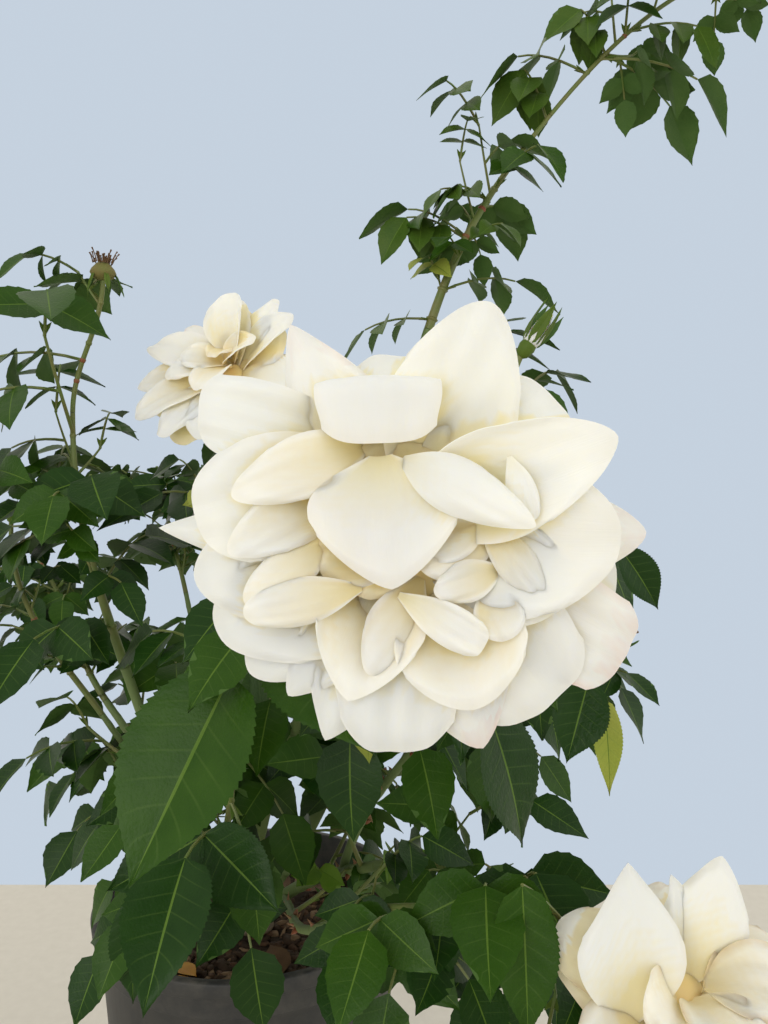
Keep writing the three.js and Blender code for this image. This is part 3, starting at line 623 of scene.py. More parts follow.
class Skin(Enum):
    """The finishes that the bush and its pot are dealt."""

    POT = MouldedPlastic("pot_plastic", (0.016, 0.017, 0.018), (0.026, 0.027, 0.028), 0.55)
    COMPOST = Finish("compost", (0.020, 0.011, 0.006), (0.050, 0.030, 0.017), 0.95)
    CHIP_DARK = Finish("bark_chip_dark", (0.035, 0.018, 0.009), (0.075, 0.042, 0.022), 0.9)
    CHIP_RED = Finish("bark_chip_red", (0.070, 0.031, 0.014), (0.115, 0.058, 0.027), 0.85)
    CHIP_PALE = Finish("bark_chip_pale", (0.25, 0.16, 0.085), (0.16, 0.095, 0.05), 0.85)
    DRY_GOLD = Finish("dry_leaf_gold", (0.62, 0.30, 0.02), (0.48, 0.20, 0.015), 0.6)
    DRY_BROWN = Finish("dry_leaf_brown", (0.150, 0.080, 0.032), (0.085, 0.042, 0.018), 0.75)
    OLD_BARK = Bark("old_bark", (0.15, 0.11, 0.06), (0.08, 0.055, 0.03), 0.9, depth=0.0012)
    CANE = Bark("cane_bark", (0.085, 0.145, 0.028), (0.12, 0.185, 0.045), 0.5)
    STALK = Finish("green_stalk", (0.10, 0.17, 0.030), (0.16, 0.15, 0.045), 0.5)
    JOINT = Finish("red_joint", (0.26, 0.045, 0.025), (0.18, 0.10, 0.03), 0.5)
    PRICKLE = Finish("prickle", (0.30, 0.12, 0.06), (0.20, 0.13, 0.05), 0.45)
    LEAF_DEEP = LeafSkin("leaf_deep", (0.008, 0.034, 0.003), (0.014, 0.047, 0.005), 0.36)
    LEAF_MID = LeafSkin("leaf_mid", (0.018, 0.058, 0.003), (0.029, 0.078, 0.005), 0.36)
    # Painted backlight: a lighter olive green for the leaves on the arching cane, standing in for light
    # shining through them from behind.
    LEAF_OLIVE = LeafSkin("leaf_olive", (0.038, 0.088, 0.009), (0.062, 0.112, 0.014), 0.40)
    LEAF_YOUNG = LeafSkin("leaf_young", (0.090, 0.190, 0.016), (0.140, 0.240, 0.030), 0.42)
    LEAF_YELLOW = LeafSkin("leaf_yellow", (0.230, 0.290, 0.040), (0.300, 0.330, 0.060), 0.45)
    RIB = LeafSkin("leaf_rib", (0.070, 0.140, 0.014), (0.100, 0.175, 0.024), 0.45)
    UNDER = LeafSkin("leaf_under", (0.050, 0.112, 0.022), (0.072, 0.136, 0.032), 0.6)
    SEPAL = LeafSkin("sepal", (0.060, 0.110, 0.012), (0.095, 0.145, 0.022), 0.5)
    # Painted sky light: a cooler, less warm copy of the cream for the top petals, standing in for the bluish
    # light from above.
    TOP = PetalSilk("petal_top", (0.93, 0.935, 0.87), (0.93, 0.89, 0.71), 0.5, warm_until=0.4)
    CREAM = PetalSilk("petal_cream", (0.93, 0.925, 0.84), (0.93, 0.82, 0.47), 0.5)
    # Warmer cream for the inner petals and those in shade: partly their own warmer tone, partly painted warm
    # shade so that they don't look grey.
    WARM = PetalSilk("petal_warm", (0.95, 0.925, 0.81), (0.92, 0.73, 0.34), 0.5, warm_until=0.85)
    GOLD = PetalSilk("petal_gold", (0.93, 0.82, 0.54), (0.86, 0.63, 0.24), 0.5, warm_until=0.95)
    BLUSH = PetalSilk("petal_blush", (0.93, 0.905, 0.82), (0.93, 0.82, 0.50), 0.5, blush=(0.86, 0.56, 0.48))
    AGED = PetalSilk("petal_aged", (0.93, 0.89, 0.75), (0.86, 0.72, 0.42), 0.55, blush=(0.56, 0.36, 0.17))
    SPENT = Finish("spent_head", (0.12, 0.15, 0.03), (0.17, 0.12, 0.035), 0.75)
    FLOOR = Finish("pale_floor", (0.66, 0.62, 0.56), (0.70, 0.66, 0.60), 0.9)

    def make(self) -> bpy.types.Material:
        """This finish as a material."""
        return self.value.make()


# Shapes and joined pieces.
@dataclass(frozen=True)
class Shape:
    """How the corners of one small shape join into faces, and each face's kind."""

    corners: Array
    counts: Array
    kinds: Array

    @classmethod
    def of(cls, faces: Iterable[tuple[Sequence[int], int]]) -> "Shape":
        """Makes a shape from faces and their kinds, without corners that come twice.

        Args:
            faces: Each face's corners, and its kind.

        Returns:
            The shape.
        """
        corners: list[int] = []
        counts, kinds = [], []
        for face, kind in faces:
            clean = [one for i, one in enumerate(face) if one != face[i - 1]]
            if len(set(clean)) > 2:
                corners.extend(clean)
                counts.append(len(clean))
                kinds.append(kind)
        return cls(np.array(corners), np.array(counts), np.array(kinds))


class JoinedPiece:
    """Many small shapes that become one mesh object."""

    def __init__(self, name: str, skins: Sequence[Skin], slot: str) -> None:
        """Starts an empty piece.

        Args:
            name: Its name.
            skins: The finishes that its shapes may have.
            slot: The record's slot that it follows.
        """
        self.name, self.skins, self.slot = name, list(skins), slot
        self.points: list[Array] = []
        self.corners: list[Array] = []
        self.counts: list[Array] = []
        self.slots: list[Array] = []
        self.maps: list[Array] = []
        self.size = 0

    def add(self, points: Array, shape: Shape, skins: Sequence[Skin], own_map: Array | None = None) -> None:
        """Adds one shape.

        Args:
            points: Its corners' places in millimetres.
            shape: How they join.
            skins: The finish of each kind of face in the shape.
            own_map: Each corner's place on the shape's own map.
        """
        self.points.append(points)
        self.corners.append(shape.corners + self.size)
        self.counts.append(shape.counts)
        self.slots.append(np.array([self.skins.index(skin) for skin in skins])[shape.kinds])
        self.maps.append(np.zeros((len(points), 2)) if own_map is None else own_map)
        self.size += len(points)

    def tube(self, line: Array, girths: Sequence[float], sides: int, skin: Skin) -> None:
        """Adds a round tube along a line of places."""
        self.add(tube_points(line, girths, sides), tube_shape(len(line), sides), [skin])

    def turned(self, foot: Array, axis: Array, profile: Sequence[Span], sides: int, skin: Skin,
               along: float = 0.0) -> None:
        """Adds a small turned shape.

        Args:
            foot: Where its axis starts.
            axis: The way that its axis runs.
            profile: The radius and height of each ring.
            sides: How many corners a ring has.
            skin: Its finish.
            along: The share along its own map, the same all over.
        """
        points = turned_points(foot, axis, profile, sides)
        own_map = np.full((len(points), 2), along)
        self.add(points, tube_shape(len(profile), sides), [skin], own_map)

    def build(self, smooth_angle: float | None = 60.0) -> Thing:
        """Makes the mesh object, which rides on the bush.

        Args:
            smooth_angle: Edges sharper than this many degrees stay sharp; None leaves facets.

        Returns:
            The object.
        """
        points = np.concatenate(self.points) * MM
        corners, counts = np.concatenate(self.corners), np.concatenate(self.counts)
        mesh = bpy.data.meshes.new(self.name)
        mesh.vertices.add(len(points))
        mesh.vertices.foreach_set("co", points.astype(np.float32).ravel())
        mesh.loops.add(len(corners))
        mesh.loops.foreach_set("vertex_index", corners.astype(np.int32))
        mesh.polygons.add(len(counts))
        starts = np.concatenate(([0], np.cumsum(counts)[:-1]))
        mesh.polygons.foreach_set("loop_start", starts.astype(np.int32))
        mesh.polygons.foreach_set("material_index", np.concatenate(self.slots).astype(np.int32))
        flat_map = np.concatenate(self.maps)[corners]
        mesh.uv_layers.new(name="own_map").data.foreach_set("uv", flat_map.astype(np.float32).ravel())
        for skin in self.skins:
            mesh.materials.append(skin.make())
        mesh.update(calc_edges=True)
        mesh.validate()
        made = bpy.data.objects.new(self.name, mesh)
        bpy.context.scene.collection.objects.link(made)
        if smooth_angle is not None:
            Hand.pick(made)
            bpy.ops.object.shade_smooth_by_angle(angle=math.radians(smooth_angle))
        return Hand.hand_over(made, self.slot)


class Hand:
    """The steps by which a piece is modelled by hand."""

    @staticmethod
    def clear() -> None:
        """Deselects everything."""
        for one in bpy.context.selected_objects:
            one.select_set(False)

    @classmethod
    def pick(cls, made: Thing) -> None:
        """Makes one object the only one at hand.

        Args:
            made: The object.
        """
        cls.clear()
        made.select_set(True)
        bpy.context.view_layer.objects.active = made

    @staticmethod
    def apply(made: Thing, kind: str, **settings: object) -> None:
        """Adds one modifier and applies it.

        Args:
            made: The object, which is at hand.
            kind: Blender's name for the modifier.
            settings: Its settings.
        """
        modifier = made.modifiers.new(kind.lower(), kind)
        for name, value in settings.items():
            setattr(modifier, name, value)
        bpy.ops.object.modifier_apply(modifier=modifier.name)

    @staticmethod
    def hand_over(made: Thing, slot: str) -> Thing:
        """Lets the finished piece ride on the bush, and reports it.

        Args:
            made: The finished piece.
            slot: The record's slot that it follows; not used.

        Returns:
            The same piece.
        """
        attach(made, BODY)
        log.info("%s: %d faces", made.name, len(made.data.polygons))
        return made

    @classmethod
    def roughen(cls, made: Thing, texture: bpy.types.Texture, strength: float, middle: float,
                **settings: object) -> None:
        """Displaces a surface by soft lumps.

        Args:
            made: The object.
            texture: The lumps.
            strength: Their height in millimetres.
            middle: The lump height that stays where it is.
            settings: The modifier's other settings.
        """
        cls.apply(made, "DISPLACE", texture=texture, strength=strength * MM, mid_level=middle,
                  texture_coords="LOCAL", **settings)

    @staticmethod
    def relief(name: str, size: float, depth: int = 2) -> bpy.types.Texture:
        """Makes soft lumps for a surface.

        Args:
            name: Their name.
            size: Their size in millimetres.
            depth: How many finer layers they have.

        Returns:
            The lumps.
        """
        texture = bpy.data.textures.new(name, "CLOUDS")
        texture.noise_scale = size * MM
        texture.noise_depth = depth
        return texture


class TurnedWall:
    """A turned shell, drawn up ring by ring out of a disc."""

    def __init__(self, name: str, radius: float, height: float, sides: int) -> None:
        """Adds the first disc and goes into edit mode with its rim selected.

        Args:
            name: The piece's name.
            radius: The radius of the disc.
            height: Its height.
            sides: How many corners each ring has.
        """
        Hand.clear()
        bpy.ops.mesh.primitive_circle_add(
            vertices=sides, radius=radius * MM, fill_type="NGON", location=(0, 0, height * MM))
        self.made = bpy.context.object
        self.made.name = self.made.data.name = name
        bpy.ops.object.transform_apply(location=True)
        bpy.ops.object.mode_set(mode="EDIT")
        bpy.ops.mesh.select_mode(type="EDGE")
        bpy.ops.mesh.select_all(action="SELECT")
        bpy.ops.mesh.flip_normals()
        bpy.ops.mesh.select_all(action="DESELECT")
        bpy.ops.object.mode_set(mode="OBJECT")
        self.made.data.edges.foreach_set("select", [True] * sides)
        bpy.ops.object.mode_set(mode="EDIT")
        self.radius, self.height = radius, height

    def rise(self, radius: float, height: float) -> None:
        """Draws the wall on by one ring.

        Args:
            radius: Its new radius.
            height: Its new height.
        """
        bpy.ops.mesh.extrude_edges_move(
            TRANSFORM_OT_translate={"value": (0, 0, (height - self.height) * MM)})
        share = radius / self.radius
        bpy.ops.transform.resize(value=(share, share, 1), center_override=(0, 0, height * MM))
        self.radius, self.height = radius, height

    def close(self, rings: Iterable[Span]) -> Thing:
        """Draws the wall through all its rings and fills the last one.

        Args:
            rings: The radius and height of each ring.

        Returns:
            The shell, with its faces outwards, out of edit mode and at hand.
        """
        for radius, height in rings:
            self.rise(radius, height)
        bpy.ops.mesh.edge_face_add()
        bpy.ops.mesh.select_all(action="SELECT")
        bpy.ops.mesh.normals_make_consistent(inside=False)
        bpy.ops.object.mode_set(mode="OBJECT")
        Hand.pick(self.made)
        return self.made


@cache
def tube_shape(rings: int, sides: int) -> Shape:
    """Joins rings into a tube with closed ends.

    Args:
        rings: How many rings there are.
        sides: How many corners each has.

    Returns:
        The shape.
    """
    faces = []
    for ring in range(rings - 1):
        for side in range(sides):
            after = (side + 1) % sides
            a, b = ring * sides, (ring + 1) * sides
            faces.append(((a + side, a + after, b + after, b + side), 0))
    faces.append((tuple(range(sides))[::-1], 0))
    faces.append((tuple((rings - 1) * sides + side for side in range(sides)), 0))
    return Shape.of(faces)


def tube_points(line: Array, girths: Sequence[float], sides: int) -> Array:
    """Lays a round tube along a line.

    Args:
        line: The places that it goes through.
        girths: Its radius at each.
        sides: How many corners a ring has.

    Returns:
        Its corners.
    """
    ways = np.gradient(line, axis=0)
    ways /= np.linalg.norm(ways, axis=1)[:, None]
    across = np.cross(ways[0], UP if abs(ways[0][2]) < 0.9 else ASIDE)
    rings, angles = [], turns(sides)
    for place, way, girth in zip(line, ways, girths):
        across = unit(across - way * (across @ way))
        beside = np.cross(way, across)
        rings.append(place + girth * (np.outer(np.cos(angles), across) + np.outer(np.sin(angles), beside)))
    return np.concatenate(rings)


def turned_points(foot: Array, axis: Array, profile: Sequence[Span], sides: int) -> Array:
    """Lays a small turned shape.

    Args:
        foot: Where its axis starts.
        axis: The way that its axis runs.
        profile: The radius and height of each ring.
        sides: How many corners a ring has.

    Returns:
        Its corners.
    """
    across, angles = square_to(axis), turns(sides)
    beside = np.cross(axis, across)
    circle = np.outer(np.cos(angles), across) + np.outer(np.sin(angles), beside)
    return np.concatenate([foot + axis * height + circle * radius for radius, height in profile])


@cache
def sheet_shape(rows: int, columns: int) -> Shape:
    """Joins a closed thin sheet: its inner side, its outer side and the rim between them.

    Args:
        rows: How many faces long it is.
        columns: How many faces wide.

    Returns:
        The shape.
    """
    wide = columns + 1
    back = (rows + 1) * wide
    faces = []
    for row in range(rows):
        for column in range(columns):
            a = row * wide + column
            faces.append(((a, a + 1, a + wide + 1, a + wide), 0))
            faces.append(((back + a + 1, back + a, back + a + wide, back + a + wide + 1), 0))
    rim = [*range(columns), *(row * wide + columns for row in range(rows))]
    rim += [rows * wide + column for column in range(columns, 0, -1)]
    rim += [row * wide for row in range(rows, 0, -1)]
    for i, a in enumerate(rim):
        b = rim[(i + 1) % len(rim)]
        faces.append(((b, a, back + a, back + b), 0))
    return Shape.of(faces)


# Limbs.
CLEARANCE = 0.3
SOIL_TOP = 232.0
UNION_FOOT = SOIL_TOP + CLEARANCE
UNION_HEIGHT = 42.0
SWAY = 0.38
STEM_STEPS = 4
STEM_TIP = 1.4


@dataclass(frozen=True)
class Limb:
    """A cane or bough: where it leaves its parent, which way, and where its tip is."""

    parent: str
    at: float
    start: Span
    tip: Place
    end: Span
    girth: Span


CANES = {
    "front_cane": Limb("graft_union", 0.14, (-88, 52), (77, -206, 482), (-76, 26), (5.2, 3.1)),
    "arch_cane": Limb("graft_union", 0.3, (8, 50), (127, -76, 664), (-8, 72), (5.4, 3.2)),
    "left_cane": Limb("graft_union", 0.3, (-142, 54), (-57, -118, 452), (-150, 72), (5.0, 2.9)),
    "rear_cane": Limb("graft_union", 0.26, (92, 54), (-6, 92, 470), (100, 74), (5.2, 3.0)),
    "flank_cane": Limb("graft_union", 0.12, (160, 50), (-128, 46, 392), (165, 50), (4.6, 2.8)),
    "right_cane": Limb("graft_union", 0.1, (-38, 46), (112, -140, 346), (-58, 26), (4.8, 2.8)),
    "middle_bough": Limb("front_cane", 0.3, (140, 60), (6, -78, 500), (-100, 74), (3.4, 2.4)),
    "low_front_bough": Limb("front_cane", 0.12, (-112, 30), (12, -158, 344), (-88, 42), (3.2, 2.3)),
    "low_right_bough": Limb("right_cane", 0.2, (-74, 16), (74, -182, 334), (-56, 34), (3.2, 2.3)),
    "bud_bough": Limb("right_cane", 0.62, (-30, 74), (136, -164, 468), (-74, 66), (3.0, 2.2)),
    "outer_left_bough": Limb("flank_cane", 0.24, (-140, 50), (-90, -66, 410), (-170, 56), (3.0, 2.0)),
    "rear_right_bough": Limb("arch_cane", 0.16, (70, 44), (112, 104, 420), (58, 58), (3.4, 2.4)),
    "side_right_bough": Limb("arch_cane", 0.24, (14, 18), (176, 22, 366), (8, 40), (3.2, 2.2)),
    "rear_left_bough": Limb("rear_cane", 0.34, (150, 40), (-84, 128, 470), (125, 58), (3.2, 2.2)),
}


@dataclass(frozen=True)
class GrownLimb:
    """A limb's line and its girth at the foot and the tip."""

    bend: Bend
    girth: Span


# Leaves.
class Tint(Enum):
    """Which greens a spray's leaves are dealt: most of them, some of them."""

    DEEP = (Skin.LEAF_DEEP, Skin.LEAF_MID)
    MID = (Skin.LEAF_MID, Skin.LEAF_DEEP)
    # Painted backlight: the lighter olive green of the arching cane's leaves.
    OLIVE = (Skin.LEAF_OLIVE, Skin.LEAF_MID)
    YOUNG = (Skin.LEAF_YOUNG, Skin.LEAF_MID)


@dataclass(frozen=True)
class Leaflet:
    """One leaflet's place: its foot, the way it runs, the way it faces, its length and width."""

    base: Array
    along: Array
    out: Array
    length: float
    width: float

    @property
    def tip(self) -> Array:
        """Where its tip hangs in the solids."""
        return self.base + self.along * self.length - self.out * self.length * LeafRule.droop

    @property
    def middle(self) -> Array:
        """The middle of its blade."""
        return self.base + self.along * self.length * 0.5


@dataclass(frozen=True)
class Leaf:
    """A rose leaf: a sagging stalk with leaflets."""

    stalk: Bend
    leaflets: tuple[Leaflet, ...]
    length: float


@dataclass(frozen=True)
class LeafRule:
    """The rule that a leaf grows by, the same as the solids'."""

    golden_angle: float = 137.5
    spread: Span = (44, 66)
    shorten: float = 0.15
    hang: float = 0.25
    stalk: float = 0.6
    pair_gap: float = 0.52
    pair_size: float = 0.85
    side: Span = (0.3, 0.95)
    turn_spread: float = 0.3
    face_out: float = 0.9
    face_light: float = 1.2
    weep: Span = (0.25, 0.8)
    size_spread: float = 0.16
    triple_from: float = 0.7
    width: float = 0.64
    droop: float = 0.1

    def grow(self, foot: Array, way: Array, length: float, pairs: int, random: SeededRandom,
             lit: bool = False) -> Leaf:
        """Grows one leaf.

        Args:
            foot: Where its stalk leaves the stem.
            way: The way that the stalk sets out.
            length: The length of the leaflet at its tip.
            pairs: How many pairs of leaflets it has besides.
            random: The row of draws.
            lit: Whether its leaflets turn to the light in front.

        Returns:
            The leaf.
        """
        stalk = length * (self.stalk + pairs * self.pair_gap)
        facing = unit(way * [1, 1, 0]) * self.face_out + UP + LIGHT * self.face_light * lit
        end = foot + way * stalk * (1 - self.shorten) - UP * stalk * self.hang
        bend = Bend((foot, foot + way * stalk * 0.5, end))

        def leaflet(share: float, side: int, size: float) -> Leaflet:
            """Places one leaflet.

            Args:
                share: Where it is on the stalk.
                side: Left (-1), at the tip (0) or right (1).
                size: Its length.

            Returns:
                The leaflet.
            """
            hang = random.between(self.weep)
            forward = 1.0 if side == 0 else self.side[0] * (1 + (random() - 0.5) * self.turn_spread)
            tangent = bend.tangent(share)
            sideways = unit(np.cross(tangent, UP))
            along = unit(tangent * forward + sideways * side * self.side[1] - UP * hang)
            out = unit(facing - along * (facing @ along))
            return Leaflet(bend.point(share), along, out, size, size * self.width)

        leaflets = []
        for pair in range(pairs):
            share = (self.stalk + pair * self.pair_gap) / (self.stalk + pairs * self.pair_gap)
            size = length * self.pair_size ** (pairs - pair)
            leaflets += [leaflet(share, -1, size), leaflet(share, 1, size)]
        leaflets.append(leaflet(1.0, 0, length))
        return Leaf(bend, tuple(leaflets), length)


RULE = LeafRule()


class BladeForm:
    """The outline and folds of a leaflet, ready to be laid at any place.

    MOODS holds the spans of a leaflet's own fold, droop, twist, sway and wave.
    """

    MOODS = ((0.08, 0.34), (0.04, 0.2), (-0.3, 0.3), (-0.06, 0.06), (0.0, 0.035))
    RIB = 0.028
    NOTCH = 0.965
    TOOTH = 1.02

    def __init__(self, rows: int, columns: Sequence[float], quilt: float) -> None:
        """Works out the corners' shares along and across, and the faces.

        Args:
            rows: How many teeth each side has.
            columns: The corners between rib and rim, in half widths.
            quilt: How deep the skin sinks at its side veins, in lengths.
        """
        sides = [-self.NOTCH, *(-c for c in reversed(columns)), -self.RIB, self.RIB, *columns, self.NOTCH]
        self.shares, self.across, self.sheets = [0.0], [0.0], [0]
        last = len(sides) - 1
        top, under, teeth = {}, {}, {}

        def corner(share: float, across: float, sheet: int) -> int:
            """Notes one corner.

            Args:
                share: Its share of the length.
                across: Its place across, in half widths.
                sheet: Top (1), rim (0) or underside (-1).

            Returns:
                Its number.
            """
            self.shares.append(share + abs(across) * 0.035)
            self.across.append(across)
            self.sheets.append(sheet)
            return len(self.shares) - 1

        for row in range(1, rows):
            for j, across in enumerate(sides):
                top[row, j] = corner(row / rows, across, 0 if j in (0, last) else 1)
                under[row, j] = top[row, j] if j in (0, last) else corner(row / rows, across, -1)
        tip = corner(1.0, 0.0, 0)
        for j in range(last + 1):
            top[0, j] = under[0, j] = 0
            top[rows, j] = under[rows, j] = tip
        for row in range(rows):
            share = (row + 0.72) / rows
            teeth[row, -1] = corner(share, -self.TOOTH, 0)
            teeth[row, 1] = corner(share, self.TOOTH, 0)
        faces = []
        for row in range(rows):
            for j in range(last):
                left, right = [(row, j), (row + 1, j)], [(row + 1, j + 1), (row, j + 1)]
                before = [teeth[row, -1]] if j == 0 else []
                after = [teeth[row, 1]] if j == last - 1 else []
                for sheet, kind in ((top, 1 if sides[j] == -self.RIB else 0), (under, 2)):
                    face = [sheet[left[0]], *before, sheet[left[1]], sheet[right[0]], *after, sheet[right[1]]]
                    faces.append((face if sheet is top else face[::-1], kind))
        self.shape = Shape.of(faces)
        self.share = np.minimum(np.array(self.shares), 1.0)
        self.x = np.array(self.across)
        self.own_map = np.column_stack((self.share, self.x / 2 + 0.5))
        self.sheet = np.array(self.sheets, float)
        outline = np.sin(math.pi * self.share**0.74) ** (0.52 + 0.74 * self.share)
        self.half = np.where(self.share < 1, outline, 0.0)
        folds = np.cos(2 * math.pi * (self.share * 8 - abs(self.x) * 1.6))
        self.quilt = quilt * folds * abs(self.x) * (1 - self.x**2)

    def lay(self, leaflet: Leaflet, random: SeededRandom, thickness: float = 0.45) -> Array:
        """Lays one leaflet, with a fold, droop and twist of its own.

        Args:
            leaflet: Its place.
            random: The row of draws.
            thickness: How thick it is.

        Returns:
            Its corners.
        """
        length, half = leaflet.length, leaflet.width / 2
        fold, droop, twist, sway, wave = (random.between(span) for span in self.MOODS)
        phase = random() * ROUND
        side = self.x * self.half
        angle = twist * self.share
        across = side * half * np.cos(angle) + sway * length * self.share**2
        lift = (abs(side) * half * fold + side * half * np.sin(angle) - self.share**2 * length * droop
                + wave * length * np.sin(7 * self.share + phase + (self.x > 0) * 2) * self.x**2
                + self.quilt * length + self.sheet * thickness / 2
                - (abs(self.x) == self.RIB) * (self.sheet > 0) * thickness * 0.5)
        beside = np.cross(leaflet.out, leaflet.along)
        return (leaflet.base + np.outer(self.share * length, leaflet.along) + np.outer(across, beside)
                + np.outer(lift, leaflet.out))


class Forms:
    """The few leaflet shapes that all leaves share."""

    plain = BladeForm(7, (0.55,), 0.0)
    near = BladeForm(26, (0.16, 0.32, 0.48, 0.64, 0.8), 0.012)


@dataclass(frozen=True)
class SprayPlan:
    """One mass of leaves: its stem, its leaves by rule, its named leaves, and the finer growth on it."""

    parent: str
    tip: Place
    end: Span
    leaves: int
    twigs: int
    size: float
    seed: int
    key: tuple[tuple[float, float, float, float, int], ...] = ()
    tint: Tint = Tint.DEEP
    finer: int = 6
    lit: bool = False


SPRAYS = {
    "front_spray": SprayPlan("front_cane", (100, -312, 524), (-86, 18), 0, 0, 44, 11, (
        (0.68, -136, -1, 70, 1), (0.14, -45, -32, 38, 2), (0.08, -156, -12, 40, 1), (0.74, -1, -37, 56, 1),
        (0.34, -96, -54, 42, 1)), finer=5, lit=True),
    "low_front_spray": SprayPlan("low_front_bough", (30, -236, 424), (-80, 40), 0, 0, 44, 71, (
        (0.56, -99, 26, 57, 1), (0.41, -44, -55, 41, 1), (0.2, 172, -20, 44, 1), (0.84, -40, -50, 40, 0)),
        finer=8, lit=True),
    "right_spray": SprayPlan("right_cane", (182, -262, 362), (-58, 18), 3, 1, 40, 61, finer=5, lit=True),
    "middle_spray": SprayPlan("middle_bough", (12, -122, 590), (-106, 52), 4, 0, 38, 53,
                              tint=Tint.MID, finer=5, lit=True),
    # The arching cane's sprays take the painted backlight green.
    "arch_spray_low": SprayPlan("arch_cane", (206, -78, 803), (-4, 50), 1, 0, 36, 23, (
        (0.04, 190, 6, 32, 2), (0.16, -8, 22, 36, 2), (0.4, 176, 42, 37, 2), (0.64, -62, 30, 36, 2),
        (0.58, 205, 30, 28, 1)), Tint.OLIVE, 5),
    "arch_spray_high": SprayPlan("arch_spray_low", (380, -68, 917), (4, 10), 3, 0, 38, 31, (
        (0.16, 178, 32, 38, 2), (0.22, -14, -4, 42, 2), (0.32, -100, 46, 34, 2), (0.6, -50, 0, 42, 2)),
        Tint.OLIVE, 5),
    "left_spray_low": SprayPlan("left_cane", (-82, -134, 602), (110, 84), 5, 1, 42, 41,
                                tint=Tint.MID, finer=9, lit=True),
    "left_spray_top": SprayPlan("left_spray_low", (-60, -146, 676), (-60, 80), 3, 0, 38, 47, (
        (0.4, 184, 16, 40, 2),), Tint.MID, 4, lit=True),
    "low_right_spray": SprayPlan("low_right_bough", (146, -270, 386), (-34, 16), 0, 0, 44, 83, (
        (0.93, -97, 54, 42, 1), (0.77, -98, 48, 32, 0), (0.12, -96, 10, 32, 1)), finer=6, lit=True),
    "bud_spray": SprayPlan("bud_bough", (156, -254, 612), (-10, 66), 1, 0, 38, 97, (
        (0.22, -7, -34, 47, 1), (0.02, -55, -55, 41, 1), (0.59, -15, 6, 50, 1), (0.36, -40, -38, 44, 1)),
        finer=4, lit=True),
    "outer_left_spray": SprayPlan("outer_left_bough", (-135, -98, 540), (100, 82), 3, 0, 26, 101,
                                  tint=Tint.MID, finer=4, lit=True),
    "rear_spray": SprayPlan("rear_cane", (-20, 128, 664), (110, 72), 5, 0, 42, 113, finer=10),
    "flank_spray": SprayPlan("flank_cane", (-196, 62, 512), (170, 46), 4, 1, 42, 127, finer=10),
    "rear_right_spray": SprayPlan("rear_right_bough", (164, 168, 566), (50, 56), 4, 1, 42, 131, finer=10),
    "side_right_spray": SprayPlan("side_right_bough", (262, 34, 436), (0, 24), 4, 0, 40, 139, finer=9),
    "rear_left_spray": SprayPlan("rear_left_bough", (-128, 186, 590), (120, 58), 5, 0, 42, 149, finer=10),
}


# Blooms.
@dataclass(frozen=True)
class Petal:
    """One petal.

    It leaves the bloom's heart at a clock angle, seen from in front with 0 to the right.
    Lean is its angle from the bloom's axis at its foot and its end, reached within the
    shares in bend. Cup bends its sides in and roll bends its end's sides back.
    """

    clock: float
    reach: float
    width: float
    lean: Span = (50, 98)
    foot: Place = (0, 0, 0)
    cup: float = 0.5
    roll: float = 0.5
    skin: Skin = Skin.CREAM
    pointed: float = 0.0
    twist: float = 0.0
    sway: float = 0.0
    curl: float = 0.5
    ruffle: float = 1.0
    bend: Span = (0.0, 1.0)
    length: float = 0.0
    square: float = 0.0
    crumple: float = 0.4


